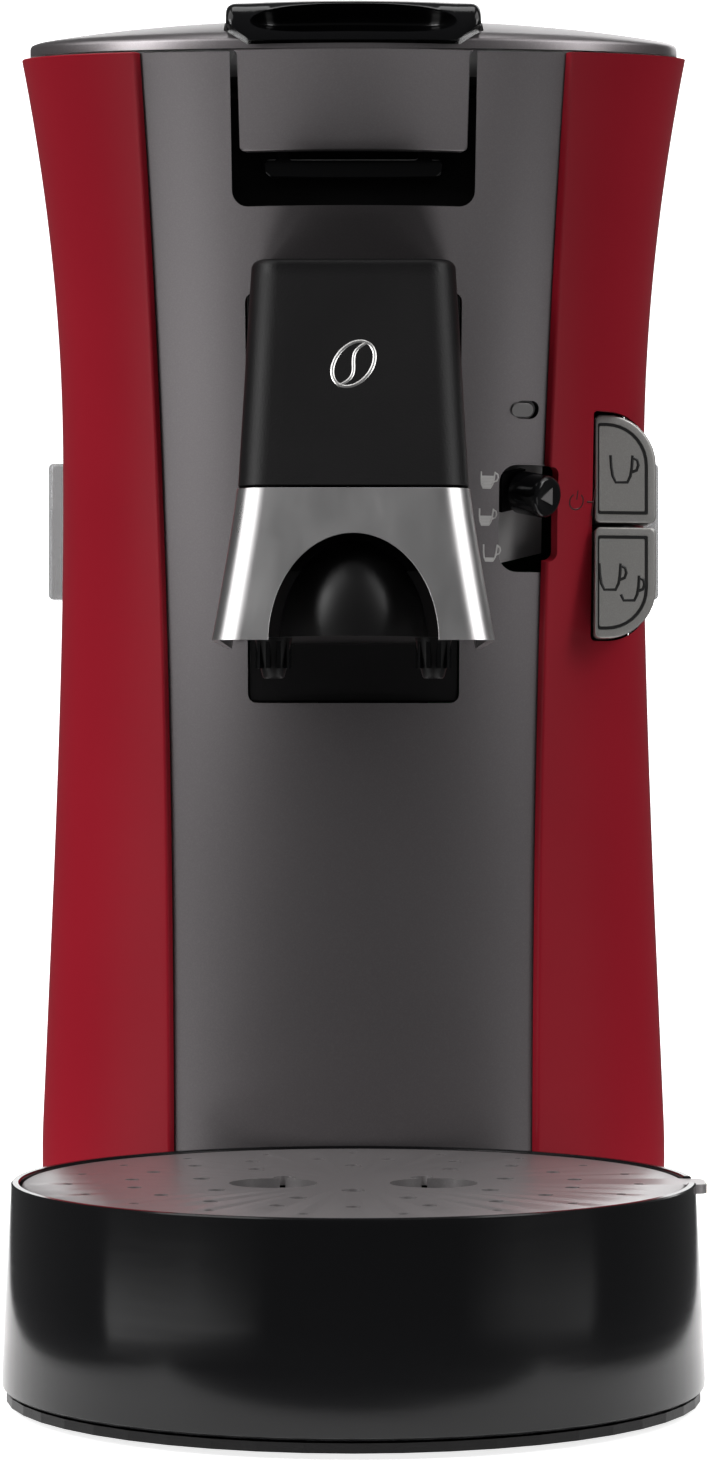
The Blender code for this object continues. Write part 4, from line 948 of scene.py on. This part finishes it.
def button_outline(low_z, high_z, upper, inset):
    """Face outline of a button: a large round corner away from its neighbour, small ones elsewhere."""
    big = 0.0116 - inset
    small = max(0.0004, 0.0013 - 0.4 * inset)
    radii = (small, small, big, small) if upper else (small, big, small, small)
    # Painted shade: past the inlay's inset, the left run is drawn in close to the key's left edge, a black
    # line that stands in for the shadow of the window's edge.
    left = BUTTON_LEFT + (inset if inset < INLAY_INSET else 0.0006 + 0.5 * (inset - INLAY_INSET))
    return rounded_rectangle((left, low_z + inset), (BUTTON_RIGHT - inset, high_z - inset), radii, 10)


def face_loop(points, behind):
    """Points of the slanted button face, or of a level a step behind it."""
    return [Vector((x, BUTTON_FRONT + behind + BUTTON_SLOPE * (x - BUTTON_LEFT), z)) for x, z in points]


def on_button(x, z):
    """Placing matrix on a button's slanted face."""
    across = Vector((1.0, BUTTON_SLOPE, 0.0)).normalized()
    upright = Vector((0.0, 0.0, 1.0))
    return facing(face_loop([(x, z)], 0.0)[0], across, across.cross(upright), upright)


BUTTON_SPLIT = 0.1898
keys = (("one_cup", BUTTON_SPLIT + 0.0005, BUTTON_HIGH, True, "button_one"),
        ("two_cup", BUTTON_LOW, BUTTON_SPLIT - 0.0005, False, "button_two"))
for name, low_z, high_z, is_upper, body_name in keys:
    loops = [[Vector((x, BUTTON_DEPTH, z)) for x, z in button_outline(low_z, high_z, is_upper, 0.0)]]
    for angle in spread(0, 90, 5):
        turn = math.radians(angle)
        loops.append(face_loop(button_outline(low_z, high_z, is_upper, KEY_ROUND * (1 - math.cos(turn))),
                               KEY_ROUND * (1 - math.sin(turn))))
    inlay_end = INLAY_INSET + INLAY_WIDTH
    for inset, behind in ((INLAY_INSET, 0.0), (INLAY_INSET + 0.0001, INLAY_SINK),
                          (inlay_end - 0.0001, INLAY_SINK), (inlay_end, 0.0)):
        loops.append(face_loop(button_outline(low_z, high_z, is_upper, inset), behind))
    key = stack(name + "_key", loops, button_grey)
    mount_piece(key, body_name, "button_grey", name + "_button")
    sections = []
    for inset, behind in ((INLAY_INSET + 0.00012, 0.0001), (inlay_end - 0.00012, 0.0001),
                          (inlay_end - 0.00012, 0.00048), (INLAY_INSET + 0.00012, 0.00048)):
        sections.append(face_loop(button_outline(low_z, high_z, is_upper, inset), behind))
    # The inlay's left run is painted shade along the window's edge. The rest of it is the key's black line.
    inlay = stack(name + "_inlay", sections, ink_black, hoop=True)
    mount_piece(inlay, body_name, "black_gloss")
    middle = (low_z + high_z) / 2
    if is_upper:
        lines = [cup_lines(0.0074, (-0.0004, 0.0))]
    else:
        near_cup = cup_lines(0.0068, (0.0014, -0.0012))
        lines = [cup_lines(0.0072, (-0.0032, 0.0014)), near_cup[1:], [near_cup[0][2:]]]
    meshes = [mark_line(line, 0.00072, on_button(0.0622, middle)) for group in lines for line in group]
    icon = merge_marks(name + "_icon", meshes, ink_black)
    mount_piece(icon, body_name, "black_gloss")

# Rear panel: a black textured wall with rows of vent slots above the tank, and holes for the cable
# and for the water feed.
REAR_TOP = 0.2925
CABLE_X = -0.045
CABLE_Z = 0.0092
skins = []
for y in (BODY_BACK, BODY_BACK - 0.0022):
    rows = []
    for z in spread(BODY_FLOOR, REAR_TOP, 40):
        half = half_width(z) - SKIN - 0.0003
        rows.append([Vector((x, y, z)) for x in spread(half, -half, 6)])
    skins.append(rows)
rear = wall("rear_panel_moulded", *skins, black_satin)
cable_hole = bore("cable_hole", 0.0043, -0.01, 0.01, (CABLE_X, 0.081, CABLE_Z), "Y")
feed_hole = bore("feed_hole", 0.0036, -0.01, 0.01, (0.0, 0.081, 0.0078), "Y")
vents = copies_of("vent_slots", bar_rows, (0.0, 0.0815, 0.2845), black_satin, (QUARTER, 0.0, 0.0),
                  across=2, up=4, width=0.075, height=0.0095, bar=(0.030, 0.0014, 0.006))
carve(rear, [cable_hole, feed_hole, vents])
mount_piece(rear, "housing", "black_satin", "rear_panel", rounding=0.0004, segments=2)
gland_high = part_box("cable_gland")[1].y
gland = turned("cable_gland_ribbed", [
    (0.0036, 0.0), (0.0040, 0.0004), (0.0040, 0.0030), (0.0034, 0.0036), (0.0040, 0.0042), (0.0034, 0.0052),
    (0.0040, 0.0062), (0.0034, 0.0072), (0.0040, 0.0082), (0.0039, 0.0100), (0.0033, 0.0100), (0.0033, 0.0)],
    (0, 0, 0), dark_rubber, 40)
gland.matrix_world = Matrix.Translation((CABLE_X, gland_high, CABLE_Z)) @ ALONG["Y"]
settle(gland)
mount_piece(gland, "housing", "dark_rubber", "cable_gland")

# Lid: a shallow grey dome with a rounded rim. It has a seat at the front for the lever handle and
# swings up on the hinge at its back.
LID_INSET = 0.0019
LID_GAP = 0.0006
LID_BAND = 0.0027
LID_CROWN = 0.3012
LID_BACK = 0.0725
LID_CENTRE_Y = 0.018
LID_CORNER = 0.016
LID_WALL = 0.0020
RIM_ROUND = 0.0011


def lid_edge(inset):
    """Plan of the rim with the height of the body's top edge, from the back left round the front."""
    side_z = TOP_FRONT + TOP_RISE
    half = half_width(side_z) - inset
    radius = LID_CORNER - inset
    hub_y = LID_BACK + LID_INSET - inset - radius
    front = [tuple(plan_point(top_edge(angle), angle, inset)) for angle in spread(-QUARTER, QUARTER, 91)]
    right = [(half - radius + radius * math.cos(turn), hub_y + radius * math.sin(turn), side_z)
             for turn in spread(0.0, QUARTER, 16)]
    return [(-x, y, z) for x, y, z in reversed(right)] + front + right


def lid_rows(inset, drop):
    """Rows from the rim, up the band, round the shoulder and over the dome."""
    rows = [[Vector((x, y, z + LID_GAP)) for x, y, z in lid_edge(inset)]]
    for angle in spread(0, 60, 4):
        turn = math.radians(angle)
        lift = LID_GAP + LID_BAND - RIM_ROUND * (1 - math.sin(turn))
        edge = lid_edge(inset + RIM_ROUND * (1 - math.cos(turn)))
        rows.append([Vector((x, y, z + lift)) for x, y, z in edge])
    for share in (0.975, 0.95, 0.91, 0.86, 0.80, 0.72, 0.62, 0.5, 0.37, 0.24, 0.12, 0.03):
        row = []
        for x, y, z in lid_edge(inset):
            shoulder = z + LID_GAP + LID_BAND
            height = LID_CROWN - drop - (LID_CROWN - shoulder) * share ** 3.6
            row.append(Vector((x * share, LID_CENTRE_Y + (y - LID_CENTRE_Y) * share, height)))
        rows.append(row)
    return rows


lid = wall("lid_dome", lid_rows(LID_INSET, 0.0), lid_rows(LID_INSET + LID_WALL, LID_WALL), warm_grey,
           domed=True)
SEAT_HALF = 0.0283
SEAT_LOW = 0.2911
SEAT_CORNER = 0.0052
SEAT_RISE = 0.0038
ABOVE_LID = 0.3100
seat_line = [(-SEAT_HALF + SEAT_CORNER, SEAT_LOW), (SEAT_HALF - SEAT_CORNER, SEAT_LOW),
             (SEAT_HALF, SEAT_LOW + SEAT_RISE), (SEAT_HALF, ABOVE_LID), (-SEAT_HALF, ABOVE_LID),
             (-SEAT_HALF, SEAT_LOW + SEAT_RISE)]
seat = slab("handle_seat", seat_line, -0.06, -0.0108, along="Y")
arm_slot = plate("arm_slot", (-0.0185, -0.0150), (0.0185, -0.0050), 0.0015, 0.2800, ABOVE_LID)
carve(lid, [seat, arm_slot])
mount_piece(lid, "lid", "grey_satin", "lid_shell", rounding=0.0003, segments=2)

TONGUE_LOW = 0.2697
FILLET_TOP = 0.2901
TONGUE_CORNER = 0.0011
FILLET = 0.0014
levels = spread(TONGUE_LOW, FILLET_TOP, 60)
skins = []
for inset in (SKIN_STEP, SKIN_STEP + 0.0022):
    rows = []
    for z in levels:
        half = 0.0260 + 0.0003 * (z - TONGUE_LOW) / (levels[-1] - TONGUE_LOW)
        corner = max(0.0, TONGUE_CORNER - (z - TONGUE_LOW))
        half -= TONGUE_CORNER - math.sqrt(max(0.0, TONGUE_CORNER ** 2 - corner ** 2))
        fillet = max(0.0, FILLET - (FILLET_TOP - z))
        half += FILLET - math.sqrt(max(0.0, FILLET ** 2 - min(FILLET, fillet) ** 2))
        limit = math.asin(half / half_width(z))
        rows.append([plan_point(z, angle, inset) for angle in spread(-limit, limit, 41)])
    skins.append(rows)
tongue = wall("lid_tongue", *skins, warm_grey)
mount_piece(tongue, "lid", "grey_satin", rounding=0.0006, segments=4)

low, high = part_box("lid_inner")
inner_lid = plate("lid_inner_moulded", low.xy, high.xy, 0.012, low.z, high.z, black_satin, steps=14)
mount_piece(inner_lid, "lid", "black_satin", "lid_inner", rounding=0.0008)
seal = turned("lid_seal_moulded", [
    (0.0300, 0.2863), (0.0335, 0.2863), (0.0335, 0.2856), (0.0330, 0.2850), (0.0326, 0.2844),
    (0.0319, 0.2843), (0.0312, 0.2844), (0.0308, 0.2850), (0.0300, 0.2855)], brew_centre, dark_rubber, 120)
mount_piece(seal, "lid", "dark_rubber", "lid_seal")
disc = turned("distribution_disc_pressed", [
    (0.0, 0.2863), (0.0262, 0.2863), (0.0265, 0.2860), (0.0265, 0.2845), (0.0262, 0.2841), (0.0235, 0.2840),
    (0.0230, 0.2843), (0.0090, 0.2841), (0.0060, 0.2837), (0.0, 0.2837)], brew_centre, plain_steel, 120)
spray_centre = (brew_centre[0], brew_centre[1], 0.2842)
spray = [copies_of("spray_holes", peg_ring, spray_centre, plain_steel, count=count, ring_radius=radius,
                   peg_radius=0.0006, peg_height=0.0026)
         for count, radius in ((8, 0.007), (16, 0.014), (24, 0.020))]
carve(disc, spray)
mount_piece(disc, "lid", "steel", "distribution_disc")

# Lever: the gloss black handle in the lid's seat has a finger pocket in its front face, and its
# latch bar hangs behind the tongue.
HANDLE_HALF = 0.0277
HANDLE_LOW = 0.2917
HANDLE_BACK = -0.0143
END_ROUND = 0.0022
handle_side = [(HANDLE_BACK, HANDLE_LOW), (HANDLE_BACK, 0.3001), (-0.0150, 0.3006), (-0.0175, 0.3011),
               (-0.0220, 0.3014), (-0.0290, 0.3015), (-0.0325, 0.3012), (-0.0350, 0.3003), (-0.0367, 0.2988),
               (-0.0379, 0.2965), (-0.0386, 0.2940), (-0.0388, 0.2925), (-0.0386, HANDLE_LOW)]


def handle_section(x):
    """The handle's side view off its middle: its ends round off and its low corners draw in."""
    share = max(0.0, (abs(x) - (HANDLE_HALF - END_ROUND)) / END_ROUND)
    shrink = 1.0 - math.sqrt(max(0.0, 1.0 - share ** 2.2))
    drop = 0.0016 * shrink + 0.0007 * (x / HANDLE_HALF) ** 2
    draw = 0.0018 * shrink + 0.0010 * (x / HANDLE_HALF) ** 2
    lift = SEAT_RISE * max(0.0, (abs(x) - (HANDLE_HALF - SEAT_CORNER)) / SEAT_CORNER)
    section = []
    for y, z in handle_side:
        ahead = (HANDLE_BACK - y) / 0.0245
        raised = (z - HANDLE_LOW) / 0.0098
        section.append(Vector((x, y + draw * ahead, z + lift * (1.0 - raised) - drop * raised)))
    return section


stations = [HANDLE_HALF * math.sin(turn) for turn in spread(-math.pi / 2, math.pi / 2, 81)]
handle = stack("lever_handle_moulded", [handle_section(x) for x in stations], black_gloss)
pocket_shape = bmesh.new()
bmesh.ops.create_uvsphere(pocket_shape, u_segments=72, v_segments=36, radius=1.0)
for vertex in pocket_shape.verts:
    x, y, z = vertex.co
    flat = math.copysign(abs(x) ** 0.6, x)
    vertex.co = (0.0224 * flat, -0.0372 + 0.0095 * y, 0.2968 + 0.0034 * z - 0.0009 * flat * flat)
carve(handle, [link_mesh("finger_pocket", pocket_shape, None)])
mount_piece(handle, "lever", "black_gloss", "lever_handle", rounding=0.0005)
latch_half = [(0.0090, 0.2650), (0.0186, 0.2652), (0.0197, 0.2662), (0.0200, 0.2684), (0.0192, 0.2692),
              (0.0170, 0.2692), (0.0170, 0.2960), (0.0142, 0.2960), (0.0142, 0.2692)]
latch_line = latch_half + [(-x, z) for x, z in reversed(latch_half)]
latch = slab("lever_latch_moulded", latch_line, -0.0138, -0.0087, black_gloss, along="Y")
latch_bore = bore("latch_bore", 0.0014, -0.03, 0.03, (0.0, -0.0115, 0.293), "X", steps=24)
carve(latch, [latch_bore])
mount_piece(latch, "lever", "black_gloss", "lever_latch", rounding=0.0005)

# Drip tray: a gloss black drum with a fine rim, a back cut flat where it meets the column and a
# notch on the right for the cover's tab.
TRAY_Y = -0.0525
drum = turned("drip_tray_drum", [
    (0.0, 0.0058), (0.0664, 0.0058), (0.0674, 0.0068), (0.0674, 0.0432), (0.0678, 0.0438),
    (0.0706, 0.0440), (0.0708, 0.0442), (0.0708, 0.0467), (0.0711, 0.0470), (0.0723, 0.0470),
    (0.0726, 0.0467), (0.0729, 0.0400), (0.0736, 0.0260), (0.0745, 0.0056), (0.0744, 0.0044),
    (0.0738, 0.0038), (0.0730, 0.0036), (0.0, 0.0036)],
    (0.0, TRAY_Y, 0.0), black_gloss, 180)
back_cut = slab("tray_back_cut", [(-0.09, 0.0205), (0.09, 0.0205), (0.09, 0.06), (-0.09, 0.06)], -0.01, 0.09)
tab_notch = plate("tab_notch", (0.0690, TRAY_Y - 0.0064), (0.09, TRAY_Y + 0.0064), 0.0008, 0.0436, 0.06)
carve(drum, [back_cut, tab_notch])
mount_piece(drum, "tray", "black_gloss", "drip_tray", rounding=0.0003, segments=2, angle=50.0)

# Tray cover: a satin plate with rings of drain holes, two large holes under the nozzles and a tab
# to lift it by.
tray_grey = metallic_paint("tray_cover_grey_lacquer", (0.36, 0.34, 0.345), 0.36, 0.70, 0.10)
COVER_LOW = 0.0445
COVER_TOP = 0.0465
cover = turned("tray_cover_plate", [
    (0.0, COVER_TOP), (0.0698, COVER_TOP), (0.0702, COVER_TOP - 0.0002), (0.0704, COVER_TOP - 0.0006),
    (0.0704, COVER_LOW), (0.0, COVER_LOW)], (0.0, TRAY_Y, 0.0), tray_grey, 178)
tab = plate("cover_tab", (0.0680, TRAY_Y - 0.0060), (0.0748, TRAY_Y + 0.0060),
            (0.0005, 0.0022, 0.0022, 0.0005), COVER_LOW, COVER_TOP, tray_grey)
carve(cover, [tab], "UNION")
drains = [bore("drain", 0.00935, 0.03, 0.06, (side * NOZZLE_X, -0.0555, 0.0), steps=64) for side in (-1, 1)]
rings = []
for count, radius, hole, first in ((19, 0.0605, 0.00105, QUARTER), (19, 0.0474, 0.0016, -QUARTER),
                                   (9, 0.0330, 0.0019, QUARTER), (3, 0.0170, 0.0025, -QUARTER)):
    rings.append(copies_of("cover_holes", peg_ring, (0.0, TRAY_Y, 0.0455), tray_grey, count=count,
                           ring_radius=radius, peg_radius=hole, peg_height=0.006, first_angle=first))
carve(cover, drains + rings)
mount_piece(cover, "tray_grid", "tray_cover_grey", "tray_cover", rounding=0.00025, segments=2, angle=50.0)

# Water tank: clear smoke plastic behind the column, with a grip on each side, a black flap on top,
# an outlet in its floor and a red level float.
clear_smoke = Surface("clear_smoke", (0.15, 0.155, 0.16), 0.09, ior=1.49, alpha=0.66)
clear_smoke.put("Roughness", 0.07 + clear_smoke.grain(26.0, 4.0) * 0.10)
clear_smoke.relief(clear_smoke.grain(60.0, 2.0), 0.12, 0.0004)
TANK_LOW = 0.014
TANK_TOP = 0.278
tank_line = rounded_rectangle((-0.066, 0.084), (0.066, 0.127), (0.012,) * 4, 14)
tank = slab("water_tank_moulded", tank_line, TANK_LOW, TANK_TOP, clear_smoke)
grips = []
for side in (-1, 1):
    near = min(side * 0.0640, side * 0.0749)
    grip = plate("tank_grip", (near, 0.0840), (near + 0.0109, 0.0980), 0.0016, 0.1745, 0.2080)
    round_edges(grip, 0.0012, 3)
    settle(grip)
    grips.append(grip)
carve(tank, grips, "UNION")
hollow = plate("tank_hollow", (-0.0638, 0.0862), (0.0638, 0.1248), 0.010, 0.0162, 0.30, steps=14)
outlet = bore("tank_outlet", 0.0063, 0.0, 0.03, (0.0, 0.1055, 0.0), steps=40)
carve(tank, [hollow, outlet])
mount_piece(tank, "tank", "clear_smoke", "water_tank", rounding=0.0004, segments=2, angle=50.0)
flap = slab("tank_flap", tank_line, 0.2783, 0.2822, black_satin)
mount_piece(flap, "tank_cap", "black_satin", "tank_lid", rounding=0.0010)
float_red = moulded_plastic("float_red", (0.42, 0.012, 0.018), 0.3)
low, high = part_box("tank_float")
ball = plate("tank_float_moulded", low.xy, high.xy, 0.004, low.z, high.z, float_red)
mount_piece(ball, "float", "red_gloss", "tank_float", rounding=0.0015, segments=4)
